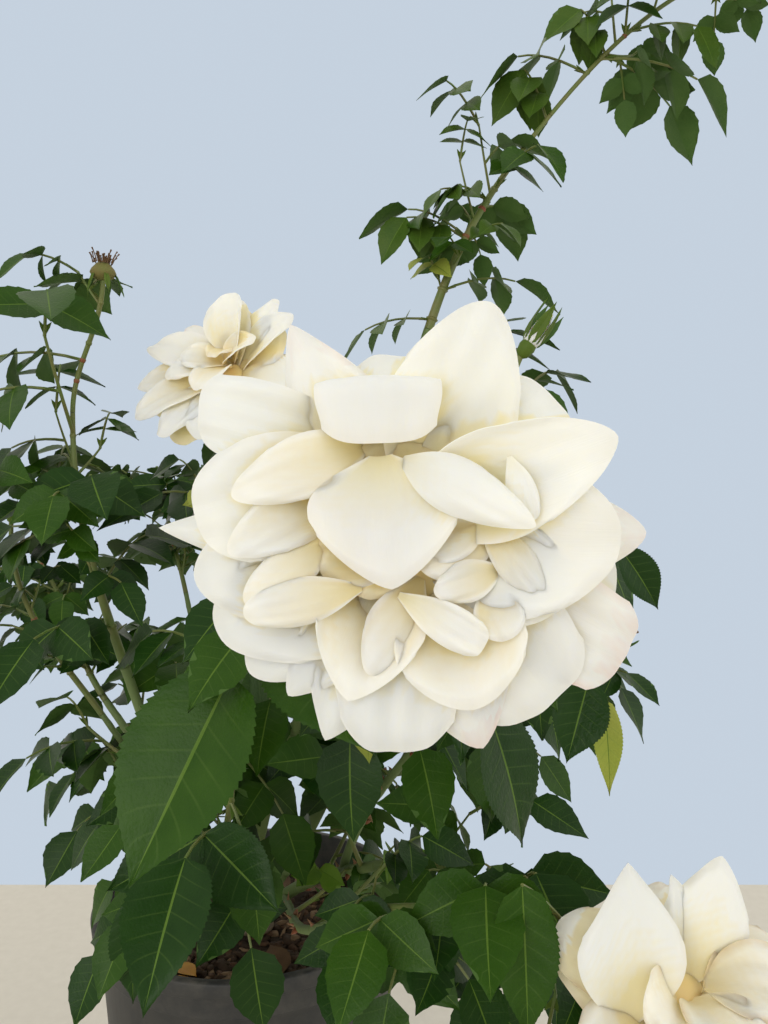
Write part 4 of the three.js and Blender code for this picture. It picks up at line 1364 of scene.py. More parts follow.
class PetalForm:
    """Lays petals as closed thin sheets."""

    ROWS, COLUMNS = 26, 22
    STEPS = 60
    THICK = 0.5
    NECK, WIDEST = 0.16, 0.74

    def __init__(self) -> None:
        """Works out the shares along and across once."""
        along, across = np.meshgrid(np.linspace(0, 1, self.ROWS + 1), np.linspace(-1, 1, self.COLUMNS + 1),
                                    indexing="ij")
        self.u, self.v = along, across
        self.shape = sheet_shape(self.ROWS, self.COLUMNS)
        flat = np.stack([along.ravel(), across.ravel() / 2 + 0.5], axis=1)
        self.own_map = np.concatenate([flat, flat])

    def lay(self, petal: Petal, heart: Array, frame: Array, random: SeededRandom) -> Array:
        """The corners of one petal.

        Args:
            petal: Its plan.
            heart: The bloom's heart.
            frame: The bloom's right, upward and forward ways, as rows.
            random: The row of draws for its ruffles.

        Returns:
            The inner side's corners and then the outer side's.
        """
        right, above, axis = frame
        clock = math.radians(petal.clock)
        radial = right * math.cos(clock) + above * math.sin(clock)
        side = np.cross(radial, axis)
        knots = np.linspace(0, 1, self.STEPS + 1)
        turn = eased((knots - petal.bend[0]) / (petal.bend[1] - petal.bend[0]))
        leans = np.radians(petal.lean[0] + (petal.lean[1] - petal.lean[0]) * turn)
        outs = np.concatenate(([0], np.cumsum(np.sin(leans[1:])))) / self.STEPS
        fronts = np.concatenate(([0], np.cumsum(np.cos(leans[1:])))) / self.STEPS
        length = petal.length or petal.reach / outs[-1]
        u, v = self.u, self.v
        fall = lerp(0.24, 0.42, petal.pointed) * (1 - petal.square * 0.75)
        power = lerp(2.3, 1.15, petal.pointed) + petal.square * 2
        along = u * (1 - fall * abs(v) ** power)
        broad = self.NECK + (1 - self.NECK) * np.sin(np.minimum(1, u / self.WIDEST) * math.pi / 2) ** 1.1
        half = petal.width / 2 * broad * (1 - 0.1 * eased((u - 0.8) / 0.2))
        arc = petal.cup + (-petal.roll - petal.cup) * eased(u)
        arc = np.where(abs(arc) < 0.01, 0.01, arc)
        across = np.sin(arc * v) / arc * half
        lift = (1 - np.cos(arc * v)) / arc * half
        p1, p2, p3 = (random() * ROUND for _ in range(3))
        lift += petal.ruffle * u**2 * (0.7 * np.sin(3.4 * v + p1) + 0.45 * np.sin(7.5 * v + p2 + 2 * u)
                                       + 0.25 * np.sin(13 * v + p3))
        lift += petal.crumple * petal.reach / 50 * u * (
            np.sin(7 * v + 5 * u + p1) * np.sin(9 * u - 3 * v + p2) + 0.35 * np.sin(13 * v - 9 * u + p3))
        rim = np.maximum(eased((abs(v) - 0.8) / 0.2) * eased(u * 1.6 - 0.3), eased((u - 0.88) / 0.12))
        lift -= petal.curl * 2.4 * rim**1.5
        twist = math.radians(petal.twist) * u
        across, lift = (across * np.cos(twist) - lift * np.sin(twist),
                        across * np.sin(twist) + lift * np.cos(twist))
        across += petal.sway * length * u**2
        lean = np.interp(along, knots, leans)
        out = np.interp(along, knots, outs) * length
        front = np.interp(along, knots, fronts) * length
        start = heart + right * petal.foot[0] + above * petal.foot[1] + axis * petal.foot[2]
        inner = np.sin(lean)[..., None] * axis - np.cos(lean)[..., None] * radial
        places = (start + out[..., None] * radial + front[..., None] * axis
                  + across[..., None] * side + lift[..., None] * inner)
        rows, columns = np.gradient(places, axis=0), np.gradient(places, axis=1)
        normals = np.cross(columns, rows)
        normals /= np.maximum(np.linalg.norm(normals, axis=2), 1e-9)[..., None]
        skin = normals * (self.THICK * (0.5 - 0.3 * rim)[..., None])
        return np.concatenate([(places + skin).reshape(-1, 3), (places - skin).reshape(-1, 3)])


@dataclass(frozen=True)
class Ring:
    """Petals of one kind that stand round a bloom."""

    count: int
    reach: float
    width: float
    lean: Span
    cup: float
    roll: float
    foot: float = 0.0
    skin: Skin = Skin.CREAM

    def petals(self, first: float, random: SeededRandom) -> list[Petal]:
        """Plans its petals, each a little unlike the next.

        Args:
            first: The clock angle of the first.
            random: The row of draws.

        Returns:
            The petals.
        """
        made = []
        for i in range(self.count):
            made.append(Petal(
                clock=first + i * 360 / self.count + random.between((-9, 9)),
                reach=self.reach * random.between((0.9, 1.08)),
                width=self.width * random.between((0.86, 1.1)),
                lean=(self.lean[0] + random.between((-6, 6)), self.lean[1] + random.between((-14, 12))),
                cup=self.cup * random.between((0.6, 1.3)),
                roll=self.roll * random.between((0.5, 1.7)),
                foot=(0, 0, self.foot),
                pointed=random.between((0.0, 0.55)),
                twist=random.between((-14, 14)),
                sway=random.between((-0.08, 0.08)),
                curl=random.between((0.2, 0.9)),
                ruffle=random.between((0.8, 1.8)),
                skin=self.skin,
            ))
        return made


@dataclass(frozen=True)
class BloomPlan:
    """A bloom: the spray whose stem carries it, its heart, the way it faces and its petals."""

    parent: str
    heart: Place
    face: Span
    core: Span
    seed: int
    rings: tuple[Ring, ...]
    petals: tuple[Petal, ...] = ()


FRONT_PETALS = (
    # Behind the rest, from the top and on to the right.
    Petal(93, 52, 30, (62, 106), (0, 2, -4), 0.3, 0.2, square=0.7),
    Petal(117, 64, 34, (60, 92), (-2, 3, -3), 0.4, 0.3, Skin.BLUSH, pointed=0.95),
    Petal(44, 56, 36, (58, 96), (2, 2, -3), 0.6, -0.3, square=0.3),
    Petal(2, 69, 34, (62, 94), (0, 0, -5), 0.3, 0.2, Skin.BLUSH, pointed=0.6),
    Petal(-14, 62, 40, (62, 96), (0, 0, -4), skin=Skin.BLUSH, square=0.4),
    Petal(-27, 69, 30, (60, 92), (0, 0, -3), 0.4, -0.1, Skin.BLUSH, square=0.9),
    Petal(-58, 58, 40, (62, 106), (0, 0, -4), pointed=0.2, skin=Skin.BLUSH),
    Petal(-82, 55, 34, (62, 106), (0, 0, -5), skin=Skin.BLUSH),
    Petal(177, 68, 24, (60, 92), (0, 0, -5), 0.5, 0.4, pointed=1.0),
    # The wide outer petals.
    Petal(70, 59, 37, (62, 78), (3, 8, 0), 0.7, -0.3, pointed=0.4, curl=0.3, ruffle=0.6, twist=-8),
    Petal(178, 47, 24, (54, 84), (-8, 28, 0), 0.4, -0.2, square=0.85, pointed=0.15, curl=0.2, sway=0.1),
    Petal(196, 49, 34, (46, 82), (-7, 20, 1), 0.4, -0.1, square=0.3, ruffle=0.9, twist=-6, curl=0.3),
    Petal(187, 55, 36, (48, 90), (-1, -2, 0), 0.5, -0.2, pointed=0.3),
    Petal(204, 54, 38, (48, 92), (-1, -2, 0), 0.6, -0.3, pointed=0.3),
    Petal(220, 54, 32, (50, 94), (0, -1, 0), 0.6, -0.3, pointed=0.4),
    Petal(248, 56, 34, (50, 94), (0, -2, 0), 0.5, 0.2, pointed=0.9),
    Petal(268, 54, 34, (48, 92), (0, -2, 1), 0.5, -0.2, square=0.5, ruffle=1.6),
    Petal(290, 58, 40, (52, 94), (2, -2, -1), 0.4, 0.2, Skin.BLUSH, pointed=0.8, twist=-8),
    Petal(312, 58, 40, (54, 94), (2, -1, -1), 0.4, -0.2, square=0.6, twist=-8),
    Petal(21, 53, 34, (40, 82), (4, 8, 3), 1.1, -0.9, pointed=0.6, twist=-6, curl=0.2),
    # The right-hand petals, one inside the other.
    Petal(-1, 54, 44, (46, 88), (3, 2, 3), 0.7, -0.35, curl=0.6, pointed=0.25, ruffle=1.3),
    Petal(-19, 39, 32, (46, 84), (7, -1, 4), 0.9, -0.6, curl=0.5, pointed=0.2, ruffle=1.0),
    Petal(-46, 42, 30, (60, 94), (6, -4, -1), 0.5, -0.2, pointed=0.3, curl=0.3),
    # The left-hand petals, each under the one above it.
    # These take the warm skin: partly painted warm shade.
    Petal(204, 37, 17, (34, 84), (-10, 27, 7), 0.5, -0.2, Skin.WARM, curl=0.4, pointed=0.35),
    Petal(211, 34, 17, (30, 84), (-16, 15, 6), 0.5, -0.2, Skin.WARM, curl=0.4, pointed=0.4),
    Petal(218, 27, 13, (58, 86), (-19, 1, 20), -0.2, 0.6, Skin.WARM, curl=0.2, ruffle=0.5),
    Petal(191, 30, 13, (58, 86), (-11, -12, 21), -0.2, 0.6, Skin.WARM, curl=0.2, ruffle=0.5),
    Petal(208, 44, 32, (44, 92), (-6, -8, 0), 0.6, -0.3, Skin.WARM, pointed=0.4),
    Petal(229, 47, 24, (46, 92), (0, -6, 1), 0.7, -0.4, pointed=0.7),
    # The folded petals of the lower middle.
    Petal(250, 43, 34, (56, 92), (-2, -8, 1), 0.5, -0.3, curl=0.3, pointed=0.3),
    Petal(254, 30, 34, (40, 76), (-6, -12, 7), 1.1, -0.9, Skin.WARM, pointed=0.85, curl=0.2),
    Petal(240, 28, 16, (56, 84), (5, -10, 15), -0.2, 0.5, Skin.WARM, pointed=0.4, curl=0.2, ruffle=0.5),
    Petal(281, 28, 38, (40, 82), (13, -16, 9), 0.9, -0.7, Skin.WARM, pointed=0.5, curl=0.3),
    Petal(268, 44, 34, (54, 92), (2, -9, 0), 0.5, -0.3, pointed=0.2),
    # The second small heart.
    # These small petals sit in shade and take the warm skin, partly painted shade.
    Petal(201, 23, 17, (58, 84), (25, 3, 17), 0.4, -0.2, Skin.WARM, curl=0.2, ruffle=0.5),
    Petal(212, 20, 14, (58, 84), (22, 8, 18), 0.4, -0.2, Skin.WARM, curl=0.2, ruffle=0.5),
    Petal(198, 19, 11, (58, 84), (26, -7, 20), 0.5, 0.1, Skin.WARM, curl=0.2, ruffle=0.7, pointed=0.3),
    Petal(-64, 13, 14, (44, 78), (22, -13, 19), 0.7, -0.3, Skin.WARM, curl=0.2, ruffle=0.5),
    Petal(-29, 25, 11, (60, 84), (-1, -14, 20), 0.3, -0.1, curl=0.2, crumple=0.5, square=0.6),
    Petal(-50, 24, 11, (60, 92), (21, 5, 19), -0.2, 0.5, Skin.WARM, curl=0.15, ruffle=0.4, square=0.2),
    # The upper heart, with the broad petal that hangs from it.
    Petal(275, 35, 42, (58, 84), (-6, 23, 15), 0.45, -0.6, curl=0.3, ruffle=0.4, pointed=0.8),
    # The top petals take the cooler skin of painted sky light.
    Petal(-29, 36, 16, (34, 80), (0, 22, 17), -0.2, 0.8, Skin.TOP, curl=0.4, ruffle=1.0, pointed=0.7,
          crumple=0.35),
    Petal(-73, 17, 8, (60, 92), (27, 22, 28), -0.2, 0.6, Skin.TOP, curl=0.15, square=0.4, ruffle=0.4),
    Petal(92, 0, 34, (56, -96), (-6, 23, 3), 0.2, -0.2, Skin.TOP, curl=0.0, ruffle=0.4, length=48,
          bend=(0.46, 0.76), square=0.85),
    Petal(70, 14, 24, (50, 70), (0, 14, 2), 0.8, -0.4, Skin.GOLD),
    Petal(120, 14, 24, (50, 70), (-3, 14, 2), 0.8, -0.4, Skin.GOLD),
    Petal(160, 18, 24, (46, 76), (-4, 12, 1), 0.6, -0.2, Skin.GOLD),
    Petal(205, 20, 24, (50, 80), (-6, 0, 1), 0.5, -0.2, Skin.GOLD),
    Petal(240, 18, 22, (50, 80), (-8, -4, 0), 0.5, -0.2, Skin.GOLD),
    Petal(214, 22, 20, (40, 74), (-3, 4, 9), 0.6, -0.3, Skin.GOLD, curl=0.4),
    Petal(236, 19, 18, (40, 74), (-2, 2, 8), 0.6, -0.3, Skin.GOLD, curl=0.4),
    Petal(290, 20, 24, (50, 80), (6, -6, 2), 0.5, -0.2, Skin.GOLD),
)

LEFT_PETALS = (
    Petal(80, 26, 34, (30, 62), (5, 14, 8), 1.5, -1.3, pointed=0.5, curl=0.3),
    Petal(92, 40, 30, (46, 86), (3, 8, 2), 0.8, -0.5, pointed=0.4),
    Petal(138, 42, 22, (50, 90), (-2, 8, 0), 0.5, pointed=0.5, skin=Skin.BLUSH),
    Petal(176, 46, 27, (50, 84), (0, 10, 5), 0.6, -0.4, pointed=0.6, curl=0.3),
    Petal(194, 48, 25, (52, 88), (-2, 2, 2), 0.5, -0.2, Skin.WARM, pointed=0.5),
    Petal(222, 50, 26, (50, 90), (-2, 0, 3), 0.8, -0.5, Skin.WARM, pointed=0.4),
    Petal(248, 48, 26, (50, 88), (0, -2, 2), 0.7, -0.3, pointed=0.3),
    Petal(276, 46, 30, (50, 88), (3, -2, 2), 0.6, -0.2, pointed=0.3),
    Petal(34, 42, 24, (50, 86), (8, 8, 3), 0.8, -0.6, pointed=0.4),
    Petal(58, 42, 24, (46, 84), (8, 8, 1), 0.6, -0.3, pointed=0.6),
    Petal(210, 28, 20, (44, 82), (-2, 6, 9), 1.1, -0.9, pointed=0.4),
    Petal(190, 22, 20, (40, 76), (2, 8, 10), 0.9, -0.6, Skin.WARM, curl=0.3),
    Petal(16, 26, 18, (44, 82), (0, 8, 10), 1.0, -0.7, Skin.WARM, pointed=0.5),
    Petal(262, 26, 24, (40, 80), (4, 6, 9), 0.9, -0.6, Skin.WARM, curl=0.3),
    Petal(70, 12, 20, (20, 60), (3, 12, 6), 1.0, -0.6, Skin.GOLD),
    Petal(250, 14, 20, (20, 60), (4, 18, 6), 1.0, -0.6, Skin.GOLD),
)

FADING_PETALS = (
    # The two that still stand.
    Petal(88, 36, 40, (26, 56), (-21, -8, 10), 0.5, 0.2, pointed=1.0, curl=0.3, ruffle=0.6),
    Petal(66, 30, 28, (26, 54), (8, 2, 10), 0.5, 0.1, pointed=0.8, twist=12),
    Petal(96, 24, 20, (26, 56), (6, 4, 10), 0.3, 0.3, pointed=0.8, twist=-12),
    # The crumpled ones round them.
    Petal(2, 44, 40, (56, 94), (8, -4, 4), 0.6, -0.4, Skin.AGED, ruffle=2.0, crumple=1.3),
    Petal(-18, 44, 42, (44, 86), (8, -8, 8), 0.8, -0.5, Skin.AGED, ruffle=2.2, crumple=1.5),
    Petal(-38, 48, 42, (40, 88), (4, -8, 8), 0.8, -0.5, Skin.AGED, ruffle=2.2, crumple=1.5),
    Petal(-72, 46, 40, (44, 92), (0, -10, 6), 0.7, -0.3, Skin.AGED, ruffle=2.0, crumple=1.3),
    Petal(-108, 46, 40, (44, 92), (-4, -8, 4), 0.7, -0.3, Skin.AGED, ruffle=2.0, crumple=1.3),
    Petal(-146, 44, 38, (44, 92), (-8, -6, 2), 0.7, -0.3, Skin.AGED, ruffle=1.8, crumple=1.2),
    Petal(30, 38, 34, (66, 104), (6, 0, -2), 0.5, -0.3, Skin.AGED, ruffle=2.0, crumple=1.3),
    Petal(150, 40, 34, (46, 96), (-4, 2, 0), 0.5, -0.2, Skin.AGED, ruffle=1.8, crumple=1.2),
    Petal(-30, 26, 30, (30, 70), (10, -2, 16), 1.0, -0.7, Skin.AGED, ruffle=2.2, crumple=1.5),
    Petal(-90, 26, 30, (30, 70), (2, -6, 15), 1.0, -0.7, Skin.AGED, ruffle=2.2, crumple=1.5),
    Petal(4, 22, 26, (40, 76), (10, -5, 12), 1.0, -0.7, Skin.AGED, ruffle=2.0, crumple=1.3),
    Petal(-150, 24, 28, (30, 70), (-2, -6, 14), 1.0, -0.7, Skin.AGED, ruffle=2.0, crumple=1.3),
)

BLOOMS = {
    "front_bloom": BloomPlan(
        "front_spray", (103, -354, 537), (-90, 0), (25, 16), 301,
        (Ring(8, 31, 32, (60, 92), 0.5, -0.1, 0.0, Skin.WARM),), FRONT_PETALS),
    "left_bloom": BloomPlan(
        "middle_spray", (9, -137, 617), (-112, 28), (15, 10), 307,
        (Ring(7, 47, 40, (48, 104), 0.4, 0.3, -3.0, Skin.WARM),), LEFT_PETALS),
    "fading_bloom": BloomPlan(
        "right_spray", (200, -296, 366), (-78, 50), (16, 14), 311,
        (Ring(5, 40, 40, (50, 104), 0.5, 0.3, -3.0, Skin.AGED),), FADING_PETALS),
}


@dataclass(frozen=True)
class TipPlan:
    """A bud or a spent head at the end of a spray's stem."""

    face: Span
    radius: float
    length: float
    sepals: int
    sepal_length: float
    open: float
    spent: bool = False
    petal: Skin = Skin.CREAM
    away: Place | None = None


TIPS = {
    "bud_spray": TipPlan((-8, 54), 4.6, 23, 5, 21, 15),
    "left_spray_top": TipPlan((-70, 84), 9.0, 19, 5, 14, 150, spent=True),
    "front_spray": TipPlan((-60, 70), 4.2, 11, 4, 7, 60, spent=True, away=(188, -278, 490)),
    "outer_left_spray": TipPlan((70, 84), 3.8, 13, 3, 11, 14, petal=Skin.BLUSH),
}


@dataclass
class Calyx:
    """The green cup under a bloom or bud, with its sepals."""

    CUP = ((0.3, 0), (0.75, 0.12), (1, 0.4), (0.86, 0.62), (0.55, 0.85), (0.3, 1))
    SLIM = 0.24

    piece: JoinedPiece
    random: SeededRandom

    def cup(self, foot: Array, axis: Array, radius: float, length: float, skin: Skin = Skin.SEPAL) -> None:
        """Adds the turned cup."""
        self.piece.turned(foot, axis, [(radius * out, length * up) for out, up in self.CUP], 16, skin)

    def sepals(self, foot: Array, axis: Array, count: int, length: float, opened: float,
               radius: float) -> None:
        """Adds the sepals.

        Args:
            foot: The point on the axis that they stand round.
            axis: The way that the axis runs.
            count: How many there are.
            length: How long they are.
            opened: Their angle from the axis, in degrees.
            radius: How far from the axis they start.
        """
        across = square_to(axis)
        beside = np.cross(axis, across)
        for i in range(count):
            about = 2 * math.pi * i / count
            around = across * math.cos(about) + beside * math.sin(about)
            lean = math.radians(opened + self.random.between((-8, 8)))
            along = unit(axis * math.cos(lean) + around * math.sin(lean))
            out = unit(around - along * (around @ along))
            sepal = Leaflet(foot + around * radius, along, out, length, length * self.SLIM)
            points = Forms.plain.lay(sepal, self.random, 0.8)
            self.piece.add(points, Forms.plain.shape, [Skin.SEPAL, Skin.SEPAL, Skin.UNDER])


@dataclass
class Bloom:
    """One bloom: its petals, its heart, and its calyx on the stem that carries it."""

    CORE = ((0.75, 0), (0.9, 0.4), (0.7, 0.8), (0.3, 1))

    name: str
    plan: BloomPlan
    sepals: int = 5
    sepal_length: float = 30.0
    sepals_open: float = 112.0
    # How strongly depth under other petals warms a corner, as painted shade.
    crevice_shade_warmth: float = 0.9
    hip_radius: float = 6.5
    hip_length: float = 13.0
    reach: float = 80.0
    cell: float = 2.5
    full_shade_depth: float = 8.0
    form: PetalForm = field(default_factory=PetalForm)

    def build(self, stem: GrownLimb) -> None:
        """Builds the petals and the calyx.

        Args:
            stem: The stem that carries it.
        """
        random = SeededRandom(self.plan.seed)
        heart = np.array(self.plan.heart, float)
        axis = heading(*self.plan.face)
        right = unit(np.cross(UP, axis))
        frame = np.array([right, np.cross(axis, right), axis])
        skins = [Skin.CREAM, Skin.WARM, Skin.GOLD, Skin.BLUSH, Skin.AGED, Skin.TOP]
        petals = JoinedPiece(self.name + "_petals", skins, "petal")
        listed = list(self.plan.petals)
        for i, ring in enumerate(self.plan.rings):
            listed += ring.petals(i * 31.0, random)
        laid = [self.form.lay(petal, heart, frame, random) for petal in listed]
        for petal, points, depth in zip(listed, laid, self.shade_depths(laid, heart, frame)):
            own_map = self.form.own_map.copy()
            # Painted shade: corners deep under other petals are pulled towards the warm foot colour, standing
            # in for the warm shade between the petals.
            own_map[:, 0] *= 1 - self.crevice_shade_warmth * depth
            petals.add(points, self.form.shape, [petal.skin], own_map)
        radius, rise = self.plan.core
        profile = [(radius * 0.2, -radius * 0.3), *((radius * out, rise * up) for out, up in self.CORE)]
        petals.turned(heart, axis, profile, 24, Skin.GOLD, 0.3)
        made = petals.build(75.0)
        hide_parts(self.name)
        self.build_calyx(stem, heart, axis, random)

    def shade_depths(self, laid: list[Array], heart: Array, frame: Array) -> list[Array]:
        """How deep each corner lies under the petals round it, from 0 to 1, for the painted shade that warms
        the bloom's crevices.

        Args:
            laid: Each petal's corners.
            heart: The bloom's heart.
            frame: The bloom's right, upward and forward ways, as rows.

        Returns:
            The depths of each petal's corners.
        """
        local = [(points - heart) @ frame.T for points in laid]
        side = 2 * int(self.reach / self.cell)
        front = np.full((side, side), -1e3)
        cells = [np.clip(((places[:, :2] + self.reach) / self.cell).astype(int), 0, side - 1)
                 for places in local]
        for places, cell in zip(local, cells):
            np.maximum.at(front, (cell[:, 0], cell[:, 1]), places[:, 2])
        around = [np.roll(front, shift, (0, 1)) for shift in ((0, 0), (1, 0), (-1, 0), (0, 1), (0, -1))]
        front = np.sort(np.stack(around), axis=0)[2:].mean(axis=0)
        return [np.clip((front[cell[:, 0], cell[:, 1]] - places[:, 2]) / self.full_shade_depth, 0, 1)
                for places, cell in zip(local, cells)]

    def build_calyx(self, stem: GrownLimb, heart: Array, axis: Array, random: SeededRandom) -> None:
        """Builds the neck, the hip and the sepals behind the petals.

        Args:
            stem: The stem that carries the bloom.
            heart: The bloom's heart.
            axis: The way that the bloom faces.
            random: The row of draws.
        """
        piece = JoinedPiece(self.name + "_calyx", [Skin.SEPAL, Skin.UNDER, Skin.STALK], "leaf")
        foot = heart - axis * self.hip_length
        way = stem.bend.tangent(1.0)
        neck = swaying(stem.bend.point(1.0) - way, way, foot + axis * STEM_TIP, axis, SWAY)
        piece.tube(neck.points(12), np.linspace(STEM_TIP, STEM_TIP * 1.6, 12), 10, Skin.STALK)
        calyx = Calyx(piece, random)
        calyx.cup(foot, axis, self.hip_radius, self.hip_length * 1.4)
        calyx.sepals(foot + axis * self.hip_length * 0.9, axis, self.sepals, self.sepal_length,
                     self.sepals_open, self.hip_radius * 0.7)
        piece.build()


# The leafy sprays.
class Room:
    """Knows what stands where, so that the finer growth keeps clear of it."""

    PETAL_GAP, LIMB_GAP, SOIL_GAP = 5.0, 5.0, 6.0
    FACE_RADIUS, FACE_DEPTH = 66.0, 6.0
    POT_RIM = 262.0
    POT_RADII: Span = (92.0, 124.0)

    def __init__(self, nodes: dict[str, Thing], limbs: dict[str, GrownLimb]) -> None:
        """Reads the blooms' solids and the limbs' lines.

        Args:
            nodes: The solids.
            limbs: The limbs.
        """
        self.solids = []
        for name in BLOOMS:
            mesh = nodes[name].data
            places = [vertex.co.copy() for vertex in mesh.vertices]
            self.solids.append(BVHTree.FromPolygons(places, [tuple(face.vertices) for face in mesh.polygons]))
        self.faces = [(np.array(plan.heart, float), heading(*plan.face)) for plan in BLOOMS.values()]
        self.lines = np.concatenate([limb.bend.points(40) for limb in limbs.values()])
        self.taken = np.full((1, 3), 1e6)

    def free(self, leaf: Leaf, low: Array, high: Array, closeness: float = 0.4) -> bool:
        """Tells whether a leaf fits.

        Args:
            leaf: The leaf to try.
            low: The lowest corner that it may reach.
            high: The highest one.
            closeness: How near the middle of another leaflet may be, in leaflet lengths.

        Returns:
            Whether it keeps clear of all that stands there.
        """
        for leaflet in leaf.leaflets:
            for place in (leaflet.tip, leaflet.middle):
                if (place < low).any() or (place > high).any():
                    return False
                radius = math.hypot(place[0], place[1])
                if place[2] < self.POT_RIM and self.POT_RADII[0] < radius < self.POT_RADII[1]:
                    return False
                if place[2] < SOIL_TOP + self.SOIL_GAP and radius < self.POT_RADII[1]:
                    return False
                near = Vector(place * MM)
                if any(tree.find_nearest(near)[3] < self.PETAL_GAP * MM for tree in self.solids):
                    return False
                for heart, axis in self.faces:
                    off = place - heart
                    front = off @ axis
                    if front > -self.FACE_DEPTH and np.linalg.norm(off - axis * front) < self.FACE_RADIUS:
                        return False
                if np.linalg.norm(self.lines - place, axis=1).min() < self.LIMB_GAP:
                    return False
            if np.linalg.norm(self.taken - leaflet.middle, axis=1).min() < leaflet.length * closeness:
                return False
        return True

    def take(self, leaf: Leaf) -> None:
        """Notes where a leaf's leaflets are."""
        self.taken = np.concatenate([self.taken, [leaflet.middle for leaflet in leaf.leaflets]])


@dataclass
class LeafyPiece:
    """The leaves and the twigs of one mass, each kind joined."""

    RED_JOINTS, MOST, YELLOWED = 0.4, 0.62, 0.03
    JOINT = ((0.7, -2.2), (1.22, -0.8), (1.3, 0.3), (0.7, 1.8))
    STALK_LEAST, STALK_GROWTH = 0.55, 0.008
    STALK_TAPER = (1.15, 0.7)

    name: str
    tint: Tint
    random: SeededRandom
    leaves: JoinedPiece = field(init=False)
    twigs: JoinedPiece = field(init=False)
    count: int = 0

    def __post_init__(self) -> None:
        """Starts both joined pieces."""
        skins = list(dict.fromkeys([*self.tint.value, Skin.RIB, Skin.UNDER, Skin.LEAF_YELLOW]))
        self.leaves = JoinedPiece(self.name + "_leaves", skins, "leaf")
        self.twigs = JoinedPiece(self.name + "_twigs", [Skin.STALK, Skin.JOINT, Skin.SEPAL], "leaf")

    def limb(self, bend: Bend, girth: Span, steps: int = 14, sides: int = 8, skin: Skin = Skin.STALK) -> None:
        """Adds a round stem or twig."""
        self.twigs.tube(bend.points(steps), np.linspace(*girth, steps), sides, skin)

    def joint(self, place: Array, way: Array, girth: float) -> None:
        """Adds a swollen joint round a stem, where a stalk leaves it.

        Args:
            place: The place on the stem.
            way: The way that the stem runs.
            girth: The stem's radius.
        """
        skin = Skin.JOINT if self.random() < self.RED_JOINTS else Skin.STALK
        self.twigs.turned(place, way, [(girth * out, along) for out, along in self.JOINT], 8, skin)

    def leaf(self, leaf: Leaf, form: BladeForm = Forms.plain) -> None:
        """Adds one leaf with its stalk, stipules and leaflets.

        Args:
            leaf: The leaf.
            form: The form of its leaflets.
        """
        thick = self.STALK_LEAST + leaf.length * self.STALK_GROWTH
        self.limb(leaf.stalk, (thick * self.STALK_TAPER[0], thick * self.STALK_TAPER[1]), 7, 5)
        self.stipules(leaf, thick)
        upper = self.tint.value[0 if self.random() < self.MOST else 1]
        if self.random() < self.YELLOWED:
            upper = Skin.LEAF_YELLOW
        for leaflet in leaf.leaflets:
            points = form.lay(leaflet, self.random)
            self.leaves.add(points, form.shape, [upper, Skin.RIB, Skin.UNDER], form.own_map)
        self.count += 1

    def keep(self, leaves: Iterable[Leaf], room: Room) -> None:
        """Adds leaves and notes where they are.

        Args:
            leaves: The leaves.
            room: Where they are noted.
        """
        for leaf in leaves:
            self.leaf(leaf)
            room.take(leaf)

    def stipules(self, leaf: Leaf, thick: float) -> None:
        """Adds the two small wings at the foot of a stalk.

        Args:
            leaf: The leaf.
            thick: The stalk's radius.
        """
        way = leaf.stalk.tangent(0.1)
        sideways = unit(np.cross(way, UP))
        rise = np.cross(sideways, way)
        for side in (-1, 1):
            foot = leaf.stalk.point(0.02) + sideways * side * thick * 0.6
            length = 4 + leaf.length * 0.1
            row = [foot, foot + way * length * 0.6 + sideways * side * 1.9,
                   foot + way * length + sideways * side * 2.6, foot + way * length * 0.7]
            points = np.array([place + rise * lift for lift in (0.25, -0.25) for place in row])
            self.twigs.add(points, STIPULE_SHAPES[side], [Skin.SEPAL])

    def build(self) -> Thing:
        """Makes both objects and returns the leaves."""
        self.twigs.build()
        return self.leaves.build()


def stipule_shape(side: int) -> Shape:
    """Joins a thin four-cornered wing on one side of a stalk.

    Args:
        side: Left (-1) or right (1).

    Returns:
        The shape.
    """
    faces = [(0, 1, 2, 3), (7, 6, 5, 4)]
    faces += [(i, i + 4, (i + 1) % 4 + 4, (i + 1) % 4) for i in range(4)]
    return Shape.of((face if side < 0 else face[::-1], 0) for face in faces)


STIPULE_SHAPES = {side: stipule_shape(side) for side in (-1, 1)}


@dataclass(frozen=True)
class ShootPlan:
    """A leafy shoot of the low growth, from a limb."""

    limb: str
    share: float
    way: Span
    length: float
    leaves: int
    size: float
    seed: int
    tint: Tint = Tint.DEEP


